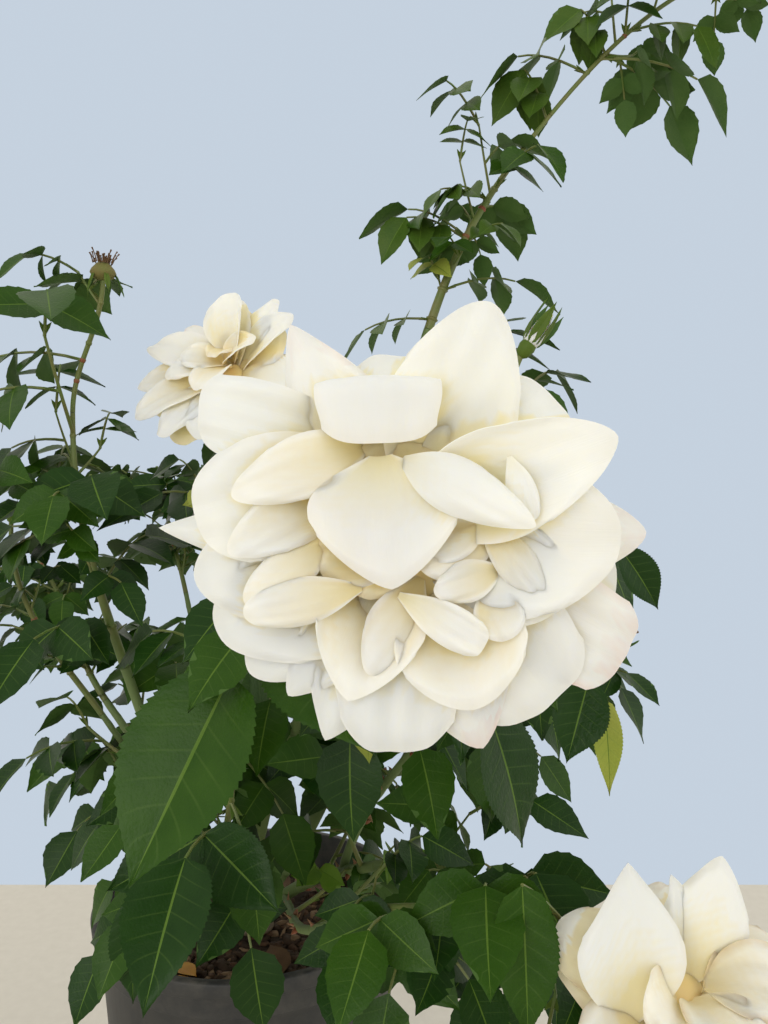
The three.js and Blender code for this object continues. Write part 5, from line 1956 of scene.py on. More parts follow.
SHOOTS = tuple(ShootPlan(limb, *row) for limb, rows in {
    "front_cane": ((0.34, (-150, 40), 60, 5, 40, 401), (0.55, (10, 30), 70, 5, 42, 402),
        (0.8, (-170, 10), 50, 4, 40, 403)),
    "low_front_bough": ((0.4, (-170, 40), 50, 3, 34, 404, Tint.MID),),
    "low_right_bough": ((0.3, (-20, 34), 46, 3, 24, 407, Tint.YOUNG),
        (0.8, (10, 30), 44, 3, 24, 408, Tint.YOUNG)),
    "right_cane": ((0.5, (40, 50), 70, 5, 42, 409), (0.75, (-110, 50), 60, 5, 40, 410)),
    "left_cane": ((0.35, (-150, 40), 70, 5, 40, 411), (0.5, (-60, 20), 64, 5, 42, 412),
        (0.75, (-20, 10), 60, 5, 40, 413, Tint.MID), (0.65, (170, 20), 60, 5, 36, 414, Tint.MID)),
    "middle_bough": ((0.5, (-160, 20), 60, 5, 40, 415), (0.75, (0, 20), 60, 5, 40, 416),
        (0.3, (60, 40), 60, 4, 40, 417)),
    "bud_bough": ((0.5, (60, 30), 60, 5, 40, 418), (0.8, (-160, 0), 50, 4, 40, 419)),
    "arch_cane": ((0.45, (60, 30), 60, 4, 38, 420), (0.62, (-120, 20), 64, 4, 38, 421)),
    "rear_cane": ((0.5, (20, 30), 70, 5, 42, 422), (0.75, (140, 20), 60, 5, 40, 423)),
    "flank_cane": ((0.55, (-150, 30), 60, 5, 40, 424), (0.8, (100, 30), 60, 5, 40, 425)),
    "rear_left_bough": ((0.6, (-170, 20), 60, 5, 40, 426),),
    "rear_right_bough": ((0.6, (0, 20), 60, 5, 40, 427),),
    "side_right_bough": ((0.6, (60, 40), 60, 5, 40, 428), (0.85, (-60, 30), 56, 4, 38, 429)),
}.items() for row in rows)


@dataclass(frozen=True)
class LoneLeaf:
    """A single leaf on a stalk of its own, from the nearest part of a limb."""

    limb: str
    foot: Place
    tip: Place
    width: float
    skin: Skin = Skin.LEAF_DEEP


LONE_LEAVES = (
    LoneLeaf("front_spray", (186, -270, 470), (190, -274, 431), 12, Skin.LEAF_YELLOW),
    LoneLeaf("front_spray", (184, -300, 531), (200, -300, 510), 14),
    LoneLeaf("low_front_bough", (-8, -250, 379), (-9, -256, 335), 21),
    LoneLeaf("right_spray", (148, -300, 410), (150, -306, 356), 24, Skin.LEAF_MID),
    LoneLeaf("right_spray", (121, -262, 383), (120, -266, 350), 18),
    LoneLeaf("front_spray", (172, -300, 484), (163, -304, 455), 20),
)


# Whole leaves that hang from the arching cane: limb, foot, way, length of the last leaflet.
ARCH_LEAVES = (
    ("arch_spray_low", (151, -77, 724), (180, 36), 34.0),
    ("arch_spray_low", (204, -78, 800), (160, 74), 38.0),
    ("arch_spray_high", (247, -76, 839), (176, 70), 33.0),
    ("arch_spray_high", (262, -74, 850), (-20, 10), 30.0),
)
HANGING = replace(RULE, weep=(1.2, 2.0), face_out=0.4, face_light=2.0)


@dataclass
class Foliage:
    """All the sprays: the leaves of the solids, finer growth on them, and the low shoots."""

    LONE_SEED, HANGING_SEED = 881, 882
    DRESS_SEEDS, FINER_SEEDS = 7000, 5000

    nodes: dict[str, Thing]
    limbs: dict[str, GrownLimb]
    twig_girth: Span = (1.2, 0.8)
    twig_length: Span = (50, 78)
    twig_spread: Span = (40, 58)
    first_leaf: float = 0.08
    in_solid: float = 1.3
    finer_share: Span = (0.1, 0.96)
    finer_length: Span = (16, 40)
    finer_size: Span = (0.58, 0.86)
    finer_girth: Span = (0.95, 0.6)
    finer_tries: int = 9
    finer_past: float = 4.0
    shoot_girth: Span = (1.7, 0.9)
    shoot_within: float = 6.0
    shoot_closeness: float = 0.3
    lone_girth: Span = (1.2, 0.7)
    turn_sway: float = 30.0
    twig_rise: float = 0.12
    finer_rise: float = 0.15
    shoot_rise: float = 0.2
    tip_spread: float = 0.4
    twig_leaf: float = 0.9
    inset: float = 0.02
    near_from: float = 54.0

    def build(self) -> None:
        """Builds every spray and then the low growth."""
        room = Room(self.nodes, self.limbs)
        grown = {}
        for name, plan in SPRAYS.items():
            grown[name] = self.grow_ruled(name, plan, room)
        for name, plan in SPRAYS.items():
            self.grow_finer(name, plan, grown[name], room)
            made = grown[name].build()
            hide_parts(name)
        self.grow_lone(room)
        self.grow_hanging(room)
        self.grow_low(room)

    def grow_lone(self, room: Room) -> None:
        """Grows the single leaves.

        Args:
            room: What stands where.
        """
        piece = LeafyPiece("lone_leaves", Tint.DEEP, SeededRandom(self.LONE_SEED))
        for plan in LONE_LEAVES:
            foot, tip = np.array(plan.foot, float), np.array(plan.tip, float)
            start = self.limbs[plan.limb].bend.nearest(foot, 40)
            length = float(np.linalg.norm(tip - foot))
            along = unit(tip - foot)
            facing = unit(LIGHT + UP * 0.4)
            leaflet = Leaflet(foot, along, unit(facing - along * (facing @ along)), length, plan.width)
            stalk = Bend((start, lerp(start, foot, 0.6) + UP * 6, foot))
            piece.limb(stalk, self.lone_girth, 9, 6)
            points = Forms.near.lay(leaflet, piece.random)
            piece.leaves.add(points, Forms.near.shape, [plan.skin, Skin.RIB, Skin.UNDER], Forms.near.own_map)
            room.take(Leaf(stalk, (leaflet,), length))
        piece.build()

    def grow_hanging(self, room: Room) -> None:
        """Grows the whole leaves that hang from the arching cane.

        Args:
            room: What stands where.
        """
        # Painted backlight: these leaves take the lighter olive green that stands in for light shining
        # through them.
        piece = LeafyPiece("hanging_leaves", Tint.OLIVE, SeededRandom(self.HANGING_SEED))
        for limb, near, way, length in ARCH_LEAVES:
            foot = self.limbs[limb].bend.nearest(near, 60)
            piece.keep([HANGING.grow(foot, heading(*way), length, 2, piece.random, True)], room)
        piece.build()

    def grow_ruled(self, name: str, plan: SprayPlan, room: Room) -> LeafyPiece:
        """Grows the leaves that the spray's solid has, by its own rule.

        Args:
            name: The spray's name.
            plan: Its plan.
            room: What stands where.

        Returns:
            The piece, for more to be grown on it.
        """
        bend, girth = self.limbs[name].bend, self.limbs[name].girth
        mesh = self.nodes[name].data
        solid = KDTree(len(mesh.vertices))
        for i, vertex in enumerate(mesh.vertices):
            solid.insert(vertex.co, i)
        solid.balance()
        random = SeededRandom(plan.seed)
        piece = LeafyPiece(name, plan.tint, SeededRandom(plan.seed + self.DRESS_SEEDS))
        piece.limb(Bend(bend.knots), girth, 24, 10)

        def stands(place: Array) -> bool:
            """Whether the solid reaches a place."""
            return solid.find(Vector(place * MM))[2] < self.in_solid * MM

        def try_leaf(foot: Array, way: Array, length: float, pairs: int) -> None:
            """Adds a leaf that the solid has.

            Args:
                foot: Where it leaves the stem.
                way: The way that it sets out.
                length: The length of its last leaflet.
                pairs: How many pairs it has besides.
            """
            leaf = RULE.grow(foot, way, length, pairs, random, plan.lit)
            if stands(leaf.leaflets[-1].tip):
                piece.leaf(leaf, Forms.near if length > self.near_from else Forms.plain)
                room.take(leaf)

        for share, azimuth, elevation, length, pairs in plan.key:
            try_leaf(bend.on_steps(share, STEM_STEPS), heading(azimuth, elevation), length, pairs)
            piece.joint(bend.point(share), bend.tangent(share), lerp(girth[0], girth[1], share))
        phase = random() * 360
        count = plan.leaves + plan.twigs
        twig_every = count // plan.twigs if plan.twigs else count + 1
        for i in range(count):
            share = lerp(self.first_leaf, 1, (i + 0.5) / count)
            turn = phase + i * RULE.golden_angle + (random() - 0.5) * self.turn_sway
            size = plan.size * (1 + (random() - 0.5) * 2 * RULE.size_spread)
            foot = bend.on_steps(share, STEM_STEPS)
            piece.joint(bend.point(share), bend.tangent(share), lerp(girth[0], girth[1], share))
            if i % twig_every != twig_every - 1:
                way = branch_way(bend, share, turn, random.between(RULE.spread))
                try_leaf(foot, way, size, 1 if share > RULE.triple_from else 2)
                continue
            way = branch_way(bend, share, turn, random.between(self.twig_spread))
            length = random.between(self.twig_length)
            twig = rising(foot, way, length, self.twig_rise)
            if stands(twig.knots[-1]):
                piece.limb(twig, self.twig_girth)
            twig_turn = random() * 360
            for j in range(2):
                place = (j + 1) / 2
                spread = random.between(RULE.spread) * (1 if j == 0 else self.tip_spread)
                leaf_way = branch_way(twig, place, twig_turn + j * RULE.golden_angle, spread)
                try_leaf(twig.point(place - self.inset), leaf_way, size * self.twig_leaf, 1)
        return piece

    def grow_finer(self, name: str, plan: SprayPlan, piece: LeafyPiece, room: Room) -> None:
        """Carries the rule to finer twigs, within the reach of the spray's solid.

        Args:
            name: The spray's name.
            plan: Its plan.
            piece: The piece that it is grown on.
            room: What stands where.
        """
        low, high = (np.array(corner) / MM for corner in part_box(name))
        bend = self.limbs[name].bend
        random = SeededRandom(plan.seed + self.FINER_SEEDS)
        wanted, tries = plan.finer, plan.finer * self.finer_tries
        while wanted > 0 and tries > 0:
            tries -= 1
            share = random.between(self.finer_share)
            way = branch_way(bend, share, random() * 360, random.between(self.twig_spread))
            length = random.between(self.finer_length)
            twig = rising(bend.point(share), way, length, self.finer_rise)
            leaves = self.shoot_leaves(twig, 2, plan.size * random.between(self.finer_size), random, plan.lit)
            kept = [leaf for leaf in leaves if room.free(leaf, low - self.finer_past, high + self.finer_past)]
            if len(kept) < 2:
                continue
            piece.limb(twig, self.finer_girth, 6, 6)
            piece.keep(kept, room)
            wanted -= 1
        log.info("%s: %d leaves", name, piece.count)

    def shoot_leaves(self, bend: Bend, count: int, size: float, random: SeededRandom,
                     lit: bool) -> list[Leaf]:
        """Grows the leaves of one shoot by the rule, from its lower part to its tip.

        Args:
            bend: The shoot.
            count: How many leaves it has.
            size: The length of their last leaflets.
            random: The row of draws.
            lit: Whether they turn to the light in front.

        Returns:
            The leaves.
        """
        turn = random() * 360
        leaves = []
        for i in range(count):
            place = (i + 1) / count
            spread = random.between(RULE.spread) * (1 if i + 1 < count else self.tip_spread)
            way = branch_way(bend, place, turn + i * RULE.golden_angle, spread)
            foot, pairs = bend.point(place - self.inset / 2), 2 if i % 2 else 1
            leaves.append(RULE.grow(foot, way, size, pairs, random, lit))
        return leaves

    def grow_low(self, room: Room) -> None:
        """Grows the low shoots from canes and boughs, inside the bush's own box.

        Args:
            room: What stands where.
        """
        low, high = (np.array(corner) / MM for corner in CAD_BOX)
        groups: dict[Tint, LeafyPiece] = {}
        for plan in SHOOTS:
            if plan.tint not in groups:
                name = "low_growth_" + plan.tint.name.lower()
                groups[plan.tint] = LeafyPiece(name, plan.tint, SeededRandom(plan.seed))
            piece = groups[plan.tint]
            random = SeededRandom(plan.seed)
            bend = self.limbs[plan.limb].bend
            way = heading(*plan.way)
            shoot = rising(bend.point(plan.share), way, plan.length, self.shoot_rise)
            leaves = self.shoot_leaves(shoot, plan.leaves, plan.size, random, bool(way @ LIGHT > 0))
            kept = [leaf for leaf in leaves if room.free(
                leaf, low + self.shoot_within, high - self.shoot_within, self.shoot_closeness)]
            if not kept:
                log.info("shoot %d has no room", plan.seed)
                continue
            piece.limb(shoot, self.shoot_girth, 10, 7)
            piece.keep(kept, room)
        for piece in groups.values():
            piece.build()


@dataclass
class Tips:
    """The buds and spent heads at the ends of sprays."""

    SEEDS = 9000
    BUD = ((0.5, 0.15), (0.86, 0.4), (0.66, 0.72), (0.28, 0.95))

    limbs: dict[str, GrownLimb]
    threads: int = 46
    thread_reach: Span = (2.5, 6.5)

    def build(self) -> None:
        """Builds all of them as one joined piece."""
        skins = [Skin.SEPAL, Skin.UNDER, Skin.CREAM, Skin.BLUSH, Skin.SPENT, Skin.DRY_BROWN]
        piece = JoinedPiece("buds_and_spent_heads", skins, "leaf")
        for name, plan in TIPS.items():
            random = SeededRandom(SPRAYS[name].seed + self.SEEDS)
            bend = self.limbs[name].bend
            foot = bend.point(0.99)
            if plan.away:
                leaves, foot = bend.point(0.6), np.array(plan.away, float)
                stalk = Bend((leaves, lerp(leaves, foot, 0.6) - UP * 12, foot))
                piece.tube(stalk.points(12), np.full(12, 0.9), 7, Skin.SEPAL)
            self.add_tip(piece, plan, foot, random)
        piece.build()

    def add_tip(self, piece: JoinedPiece, plan: TipPlan, foot: Array, random: SeededRandom) -> None:
        """Adds one bud, or one head whose petals have fallen.

        Args:
            piece: The piece that it joins.
            plan: Its plan.
            foot: Where it sits.
            random: The row of draws.
        """
        axis = heading(*plan.face)
        calyx = Calyx(piece, random)
        radius, length = plan.radius, plan.length
        calyx.cup(foot, axis, radius * 0.8, length * 0.55, Skin.SPENT if plan.spent else Skin.SEPAL)
        base = foot + axis * length * 0.25
        calyx.sepals(base, axis, plan.sepals, plan.sepal_length, plan.open, radius * 0.6)
        if plan.spent:
            self.add_tuft(piece, foot + axis * length * 0.5, axis, radius, random)
            return
        profile = [*((radius * out, length * up) for out, up in self.BUD), (0.3, length * 1.02)]
        piece.turned(foot, axis, profile, 14, plan.petal, 0.7)

    def add_tuft(self, piece: JoinedPiece, foot: Array, axis: Array, radius: float,
                 random: SeededRandom) -> None:
        """Adds the dry threads that stay on a spent head.

        Args:
            piece: The piece that they join.
            foot: Where they stand.
            axis: The way that they stand.
            radius: The head's radius.
            random: The row of draws.
        """
        across = unit(np.cross(axis, ASIDE))
        beside = np.cross(axis, across)
        for _ in range(self.threads):
            about, out = random() * 2 * math.pi, random() ** 0.5
            around = across * math.cos(about) + beside * math.sin(about)
            start = foot + around * out * radius * 0.7
            reach = random.between(self.thread_reach)
            end = start + axis * reach + around * reach * out * random.between((0.2, 1.1))
            middle = (start + end) / 2 + axis * reach * 0.2
            piece.tube(Bend((start, middle, end)).points(4), (0.4, 0.3, 0.3, 0.55), 4, Skin.DRY_BROWN)


# The woody limbs.
@dataclass
class Canes:
    """The canes and boughs, each a bent tapering limb with bark relief."""

    SCAR = ((0.95, -2.4), (1.07, -0.9), (1.09, 0.3), (0.95, 2.0))
    BUD = ((1.5, 0), (1.7, 1.2), (1.1, 2.8), (0.2, 4.4))
    PRICKLE = ((0, 2.6, 1.2), (0.3, 1.5, 0.75), (0.65, 0.7, 0.4), (1.0, 0.1, 0.08))

    limbs: dict[str, GrownLimb]
    node_every: float = 34.0
    lump_height: float = 0.7
    hook: float = 0.4
    bud_lean: float = 62.0
    prickles: int = 2
    prickle_shift: Span = (-0.4, 0.4)
    prickle_length: Span = (3.4, 6.0)
    seed: int = 211

    def build(self) -> None:
        """Builds each limb's bark and then all prickles and leaf scars."""
        texture = Hand.relief("cane_lumps", 7)
        for name in CANES:
            self.build_bark(name, self.limbs[name], texture)
        self.build_prickles()

    def build_bark(self, name: str, limb: GrownLimb, texture: bpy.types.Texture) -> None:
        """Draws one limb as a bevelled curve, makes it a mesh and roughens it.

        Args:
            name: The limb's name.
            limb: Its line and girth.
            texture: The lumps of its bark.
        """
        Hand.clear()
        bpy.ops.curve.primitive_bezier_curve_add(radius=1, location=(0, 0, 0))
        made = bpy.context.object
        data = made.data
        data.dimensions = "3D"
        data.resolution_u, data.bevel_resolution = 56, 4
        data.bevel_depth, data.use_fill_caps = MM, True
        spline = data.splines[0]
        spline.radius_interpolation = "LINEAR"
        knots = limb.bend.knots
        for point, girth, place, near in zip(
                spline.bezier_points, limb.girth, (knots[0], knots[3]), (knots[1], knots[2])):
            point.handle_left_type = point.handle_right_type = "FREE"
            point.co = Vector(place * MM)
            point.handle_left = point.handle_right = Vector(near * MM)
            point.radius = girth
        Hand.pick(made)
        bpy.ops.object.convert(target="MESH")
        made = bpy.context.object
        made.name = made.data.name = name + "_bark"
        Hand.apply(made, "SUBSURF", subdivision_type="SIMPLE", levels=1, render_levels=1)
        Hand.roughen(made, texture, self.lump_height, 0.5)
        bpy.ops.object.shade_smooth()
        made.data.materials.clear()
        made.data.materials.append(Skin.CANE.make())
        Hand.hand_over(made, "cane_bark")
        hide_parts(name)

    def build_prickles(self) -> None:
        """Adds leaf scars with small buds at even gaps, and hooked prickles between them."""
        piece = JoinedPiece("prickles_and_leaf_scars", [Skin.PRICKLE, Skin.JOINT, Skin.CANE], "cane_bark")
        random = SeededRandom(self.seed)
        for name in CANES:
            limb = self.limbs[name]
            length = np.linalg.norm(np.diff(limb.bend.points(30), axis=0), axis=1).sum()
            count = max(3, int(length / self.node_every))
            turn = random() * 360
            for i in range(1, count):
                share = i / count
                girth = lerp(limb.girth[0], limb.girth[1], share)
                turn += RULE.golden_angle
                self.add_scar(piece, limb.bend, share, girth, turn)
                for _ in range(self.prickles):
                    place = min(0.97, share + random.between(self.prickle_shift) / count)
                    about, reach = random() * 360, random.between(self.prickle_length)
                    self.add_prickle(piece, limb.bend, place, girth, about, reach)
        piece.build()

    def add_scar(self, piece: JoinedPiece, bend: Bend, share: float, girth: float, turn: float) -> None:
        """Adds one raised ring and the bud that sits on it.

        Args:
            piece: The piece that it joins.
            bend: The line of the cane.
            share: Where on it the scar is.
            girth: The cane's radius there.
            turn: The bud's turn about the cane, in degrees.
        """
        place, way = bend.point(share), bend.tangent(share)
        piece.turned(place, way, [(girth * out, along) for out, along in self.SCAR], 14, Skin.CANE)
        foot = place + branch_way(bend, share, turn, 90) * girth * 0.85
        piece.turned(foot, branch_way(bend, share, turn, self.bud_lean), self.BUD, 7, Skin.JOINT)

    def add_prickle(self, piece: JoinedPiece, bend: Bend, share: float, girth: float, turn: float,
                    length: float) -> None:
        """Adds one prickle with a long foot, hooked back towards the foot of the cane.

        Args:
            piece: The piece that it joins.
            bend: The line of the cane.
            share: Where on it the prickle is.
            girth: The cane's radius there.
            turn: Its turn about the cane, in degrees.
            length: How far it stands out.
        """
        out, way = branch_way(bend, share, turn, 90), bend.tangent(share)
        foot = bend.point(share) + out * girth * 0.8
        beside = np.cross(way, out)
        rings, angles = [], turns(7)
        for rise, along, wide in self.PRICKLE:
            centre = foot + out * length * rise - way * length * self.hook * rise**2
            ring = np.outer(np.cos(angles) * wide, beside) - np.outer(np.sin(angles) * along, way)
            rings.append(centre + ring)
        piece.add(np.concatenate(rings), tube_shape(4, 7), [Skin.PRICKLE])


@dataclass
class GraftUnion:
    """The short knobbly stem where the canes meet, with two old cuts."""

    foot_radius: float = 18.0
    waist_radius: float = 12.5
    bulge_radius: float = 16.0
    crown_radius: float = 9.0
    sides: int = 28
    knot_height: float = 3.4
    bark_height: float = 1.3

    def build(self) -> None:
        """Draws the stem up ring by ring, swells it and roughens it."""
        rings = ((self.foot_radius * 0.84, 0.12), (self.waist_radius, 0.3), (14.6, 0.45),
                 (self.bulge_radius, 0.6), (14.0, 0.76), (self.crown_radius, 0.92), (4.0, 1.0))
        wall = TurnedWall("graft_union_bark", self.foot_radius, UNION_FOOT, self.sides)
        made = wall.close((radius, UNION_FOOT + UNION_HEIGHT * share) for radius, share in rings)
        Hand.apply(made, "SUBSURF", levels=3, render_levels=3)
        Hand.roughen(made, Hand.relief("union_knots", 16), self.knot_height, 0.45)
        Hand.roughen(made, Hand.relief("union_bark", 3.5, 4), self.bark_height, 0.5)
        bpy.ops.object.shade_smooth()
        made.data.materials.append(Skin.OLD_BARK.make())
        Hand.hand_over(made, "old_bark")
        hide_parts("graft_union")


# The pot and what fills it.
@dataclass
class NurseryPot:
    """The tapered black pot with its lip, foot and drain holes."""

    STEP, SLOPE = 1.0, 1.2

    height: float = 260.0
    foot_radius: float = 87.0
    top_radius: float = 111.0
    wall: float = 2.6
    floor: float = 3.0
    lip_reach: float = 4.0
    lip_depth: float = 11.0
    foot_band: float = 10.0
    top_band: float = 16.0
    drains: int = 5
    drain_ring: float = 58.0
    drain_radius: float = 7.0
    edge: float = 0.5
    sharp: float = 40.0
    sides: int = 96

    def radius_at(self, height: float) -> float:
        """The outer radius of the wall at a height."""
        return lerp(self.foot_radius, self.top_radius, height / self.height)

    def build(self) -> None:
        """Draws the wall up, over the lip and down inside, bores the drains and rounds the edges."""
        foot, lip = self.foot_band, self.height - self.lip_depth
        band = lip - self.top_band
        rim, inside = self.top_radius + self.lip_reach, self.top_radius - self.wall
        step, slope, top = self.STEP, self.SLOPE, self.height
        wall = TurnedWall("pot_wall", self.foot_radius - step, 0.0, self.sides)
        made = wall.close((
            (self.foot_radius, step),
            (self.radius_at(foot), foot), (self.radius_at(foot) - step, foot + slope),
            (self.radius_at(band) - step, band), (self.radius_at(band) + 0.4, lip - 14.6),
            (self.radius_at(lip), lip), (self.radius_at(lip) + self.lip_reach - 0.6, lip + 0.2),
            (self.radius_at(lip) + self.lip_reach, lip + step),
            (rim, top - step), (rim - slope, top), (inside + step, top), (inside, top - slope),
            (self.radius_at(self.floor) - self.wall, self.floor)))
        for i in range(self.drains):
            self.bore(made, 2 * math.pi * i / self.drains)
        Hand.pick(made)
        sharp = math.radians(self.sharp)
        Hand.apply(made, "BEVEL", width=self.edge * MM, segments=2, limit_method="ANGLE", angle_limit=sharp)
        bpy.ops.object.shade_smooth_by_angle(angle=sharp)
        made.data.materials.clear()
        made.data.materials.append(Skin.POT.make())
        Hand.hand_over(made, "pot")
        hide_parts("pot")

    def bore(self, made: Thing, turn: float) -> None:
        """Cuts one drain hole out of the floor.

        Args:
            made: The pot.
            turn: Where on its ring the hole is, in radians.
        """
        Hand.clear()
        bpy.ops.mesh.primitive_cylinder_add(
            vertices=28, radius=self.drain_radius * MM, depth=self.floor * 4 * MM,
            location=(self.drain_ring * math.cos(turn) * MM, self.drain_ring * math.sin(turn) * MM, 0))
        drill = bpy.context.object
        Hand.pick(made)
        Hand.apply(made, "BOOLEAN", object=drill, operation="DIFFERENCE", solver="EXACT")
        bpy.data.objects.remove(drill)


@dataclass
class Compost:
    """The bark compost: its bed, the chips on it and a few fallen leaves."""

    FALLEN = ((-26, -70), (-12, -84), (30, -60), (-60, 30), (50, 55), (-48, -48), (70, -10), (10, 70),
              (-80, 0))

    pot: NurseryPot
    chips: int = 1100
    rings: int = 30
    seed: int = 73
    chip_size: tuple[Span, ...] = ((2.5, 9), (1.6, 4.5), (0.7, 2.2))
    chip_tilt: Span = (-24, 24)
    chip_edge: Span = (0.7, 1.15)
    dark_until: float = 0.62
    red_until: float = 0.88
    leaf_size: Span = (22, 34)
    golden_leaves: tuple[int, ...] = (0, 1, 5)

    def build(self) -> None:
        """Builds the bed, then scatters chips and leaves on it."""
        edge = self.pot.radius_at(SOIL_TOP) - self.pot.wall - CLEARANCE
        floor = self.pot.floor + CLEARANCE
        wall = TurnedWall("compost_bed", self.pot.radius_at(floor) - self.pot.wall - CLEARANCE, floor, 96)
        made = wall.close((edge * (1 - ring / self.rings), SOIL_TOP) for ring in range(self.rings))
        top = made.vertex_groups.new(name="top")
        inner = [v.index for v in made.data.vertices
                 if v.co.z > (SOIL_TOP - 1) * MM and v.co.xy.length < (edge - 2) * MM]
        top.add(inner, 1.0, "REPLACE")
        for name, size, strength in (("bed_lumps", 26, 9), ("bed_crumbs", 6, 4.5)):
            Hand.roughen(made, Hand.relief(name, size, 3), strength, 0.62, direction="Z", vertex_group="top")
        made.data.materials.append(Skin.COMPOST.make())
        Hand.hand_over(made, "soil")
        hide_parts("soil")
        self.scatter(made, edge)

    def scatter(self, bed: Thing, edge: float) -> None:
        """Lays bark chips and fallen leaves on the bed.

        Args:
            bed: The bed.
            edge: The radius of its top.
        """
        random = SeededRandom(self.seed)
        tree = BVHTree.FromPolygons([v.co.copy() for v in bed.data.vertices],
                                    [tuple(face.vertices) for face in bed.data.polygons])

        def on_bed(reach: float) -> Array:
            """Finds a chance place on the bed.

            Args:
                reach: How far out it may be.

            Returns:
                The place.
            """
            radius, turn = random() ** 0.5 * reach, random() * 2 * math.pi
            x, y = radius * math.cos(turn), radius * math.sin(turn)
            hit = tree.ray_cast(Vector((x * MM, y * MM, 0.3)), Vector((0, 0, -1)))[0]
            return np.array([x, y, hit.z / MM])

        skins = [Skin.CHIP_DARK, Skin.CHIP_RED, Skin.CHIP_PALE]
        chips = JoinedPiece("bark_chips", skins, "soil")
        shape, angles = tube_shape(2, 5), turns(5)
        for _ in range(self.chips):
            place = on_bed(edge - 6)
            long, wide, thick = (random.between(span) for span in self.chip_size)
            along = heading(random() * 360, random.between(self.chip_tilt))
            beside = unit(np.cross(along, UP) + UP * random.between((-0.4, 0.4)))
            rise = np.cross(beside, along)
            ring = np.outer(np.cos(angles) * long, along) + np.outer(np.sin(angles) * wide, beside)
            ring *= np.array([[random.between(self.chip_edge)] for _ in range(5)])
            points = np.concatenate([place - rise * thick * 0.4 - ring, place + rise * thick - ring * 0.86])
            draw = random()
            skin = skins[0] if draw < self.dark_until else skins[1] if draw < self.red_until else skins[2]
            chips.add(points, shape, [skin])
        chips.build(None)
        leaves = JoinedPiece("fallen_leaves", [Skin.DRY_GOLD, Skin.DRY_BROWN], "leaf")
        for i, (x, y) in enumerate(self.FALLEN):
            hit = tree.ray_cast(Vector((x * MM, y * MM, 0.3)), Vector((0, 0, -1)))[0]
            along = heading(random() * 360, random.between((-8, 14)))
            out = unit(UP - along * along[2] + heading(random() * 360, 0) * 0.25)
            out = unit(out - along * (out @ along))
            size = random.between(self.leaf_size)
            leaflet = Leaflet(np.array([x, y, hit.z / MM + 4.0]), along, out, size, size * 0.55)
            skin = Skin.DRY_GOLD if i in self.golden_leaves else Skin.DRY_BROWN
            leaves.add(Forms.plain.lay(leaflet, random), Forms.plain.shape, [skin, skin, Skin.DRY_BROWN])
        leaves.build()


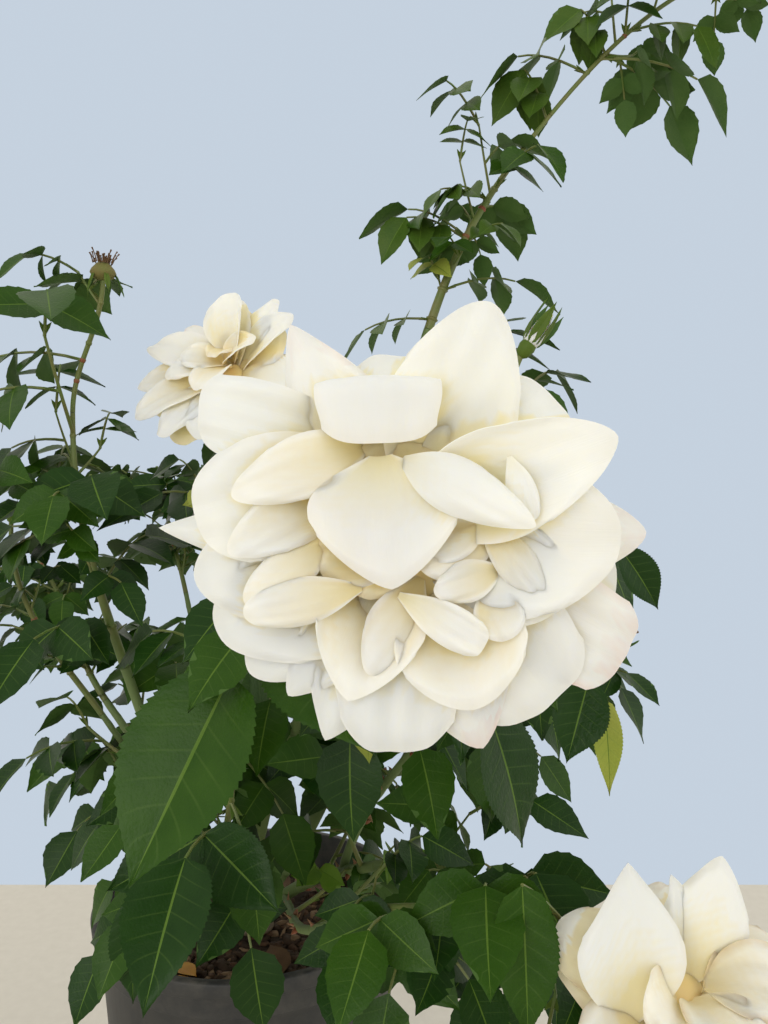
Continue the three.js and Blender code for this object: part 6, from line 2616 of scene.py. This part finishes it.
# The studio.
@dataclass
class Studio:
    """Camera, lights, and a plain pale floor."""

    LIGHTS = (
        ("sky_panel", (-0.8, -2.4, 1.1), 1.5, 15.0, (1.0, 0.99, 0.97)),
        ("side_panel", (1.8, -0.6, 1.2), 1.6, 6.0, (0.96, 0.98, 1.0)),
        ("low_panel", (-0.3, -2.2, 0.15), 1.8, 5.0, (1.0, 0.985, 0.95)),
    )

    camera_place: Place = (98, -578, 545)
    lens: float = 27.0
    sensor: float = 36.0
    near_clip: float = 0.01
    lit_point: Place = (0.05, -0.1, 0.45)
    floor_far: float = 545.0
    floor_half: float = 1500.0
    sky: Colour = (0.56, 0.64, 0.735)
    fill: Colour = (0.84, 0.825, 0.75)

    def build(self) -> None:
        """Sets up the whole studio."""
        scene = bpy.context.scene
        scene.view_settings.view_transform = "Standard"
        camera = bpy.data.objects.new("camera", bpy.data.cameras.new("camera"))
        scene.collection.objects.link(camera)
        camera.data.lens, camera.data.sensor_width = self.lens, self.sensor
        camera.data.clip_start = self.near_clip
        camera.location = Vector(self.camera_place) * MM
        camera.rotation_euler = (math.radians(90), 0, 0)
        scene.camera = camera
        self.build_floor()
        for light in self.LIGHTS:
            self.add_light(*light)
        world = bpy.data.worlds.new("pale_room")
        world.use_nodes = True
        desk = Desk(world.node_tree)
        seen = desk.node("LightPath").outputs["Is Camera Ray"]
        light = desk.node("Background", Color=desk.mix(seen, self.fill, self.sky))
        desk.node("OutputWorld", Surface=light.outputs["Background"])
        scene.world = world

    def build_floor(self) -> None:
        """A plain pale floor that ends behind the pot."""
        Hand.clear()
        near = -self.floor_half * 2
        bpy.ops.mesh.primitive_grid_add(x_subdivisions=4, y_subdivisions=4, size=1, location=(0, 0, 0))
        floor = bpy.context.object
        floor.name = "floor"
        floor.scale = (self.floor_half * 2 * MM, (self.floor_far - near) * MM, 1)
        floor.location = (0, (self.floor_far + near) / 2 * MM, 0)
        bpy.ops.object.transform_apply(location=True, scale=True)
        floor.data.materials.append(Skin.FLOOR.make())
        floor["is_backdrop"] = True

    def add_light(self, name: str, place: Place, size: float, energy: float, colour: Colour) -> None:
        """Adds a soft square light that faces the bush.

        Args:
            name: The light's name.
            place: Where it stands, in metres.
            size: How wide it is, in metres.
            energy: Its power in watts.
            colour: Its colour.
        """
        light = bpy.data.lights.new(name, "AREA")
        light.size, light.energy, light.color = size, energy, colour
        lamp = bpy.data.objects.new(name, light)
        bpy.context.scene.collection.objects.link(lamp)
        lamp.location = place
        towards = Vector(self.lit_point) - Vector(place)
        lamp.rotation_euler = towards.to_track_quat("-Z", "Y").to_euler()


def grow_limbs() -> dict[str, GrownLimb]:
    """Works out every limb's line from the union up, as the solids have it.

    Returns:
        Each limb's line and girth, by name.
    """
    straight = Bend((np.array([0, 0, UNION_FOOT]), np.array([0, 0, UNION_FOOT + UNION_HEIGHT])))
    limbs = {"graft_union": GrownLimb(straight, (18.0, 9.0))}
    for name, plan in CANES.items():
        foot = limbs[plan.parent].bend.point(plan.at)
        bend = swaying(foot, heading(*plan.start), np.array(plan.tip, float), heading(*plan.end), SWAY)
        limbs[name] = GrownLimb(bend, plan.girth)
    for name, spray in SPRAYS.items():
        parent = limbs[spray.parent]
        way = parent.bend.tangent(1.0)
        foot = parent.bend.point(1.0) + way * CLEARANCE
        bend = swaying(foot, way, np.array(spray.tip, float), heading(*spray.end), SWAY)
        limbs[name] = GrownLimb(bend, (parent.girth[1], STEM_TIP))
    return limbs


def main() -> None:
    """Builds the studio, the pot, the compost, the limbs, the sprays and the blooms."""
    logging.basicConfig(level=logging.INFO, format="%(name)s: %(message)s")
    Studio().build()
    pot = NurseryPot()
    pot.build()
    Compost(pot).build()
    GraftUnion().build()
    limbs = grow_limbs()
    Canes(limbs).build()
    Foliage(FRAME["nodes"], limbs).build()
    Tips(limbs).build()
    for name, plan in BLOOMS.items():
        Bloom(name, plan).build(limbs[plan.parent])


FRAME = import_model()
CAD_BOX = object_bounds()

if __name__ == "__main__":
    main()
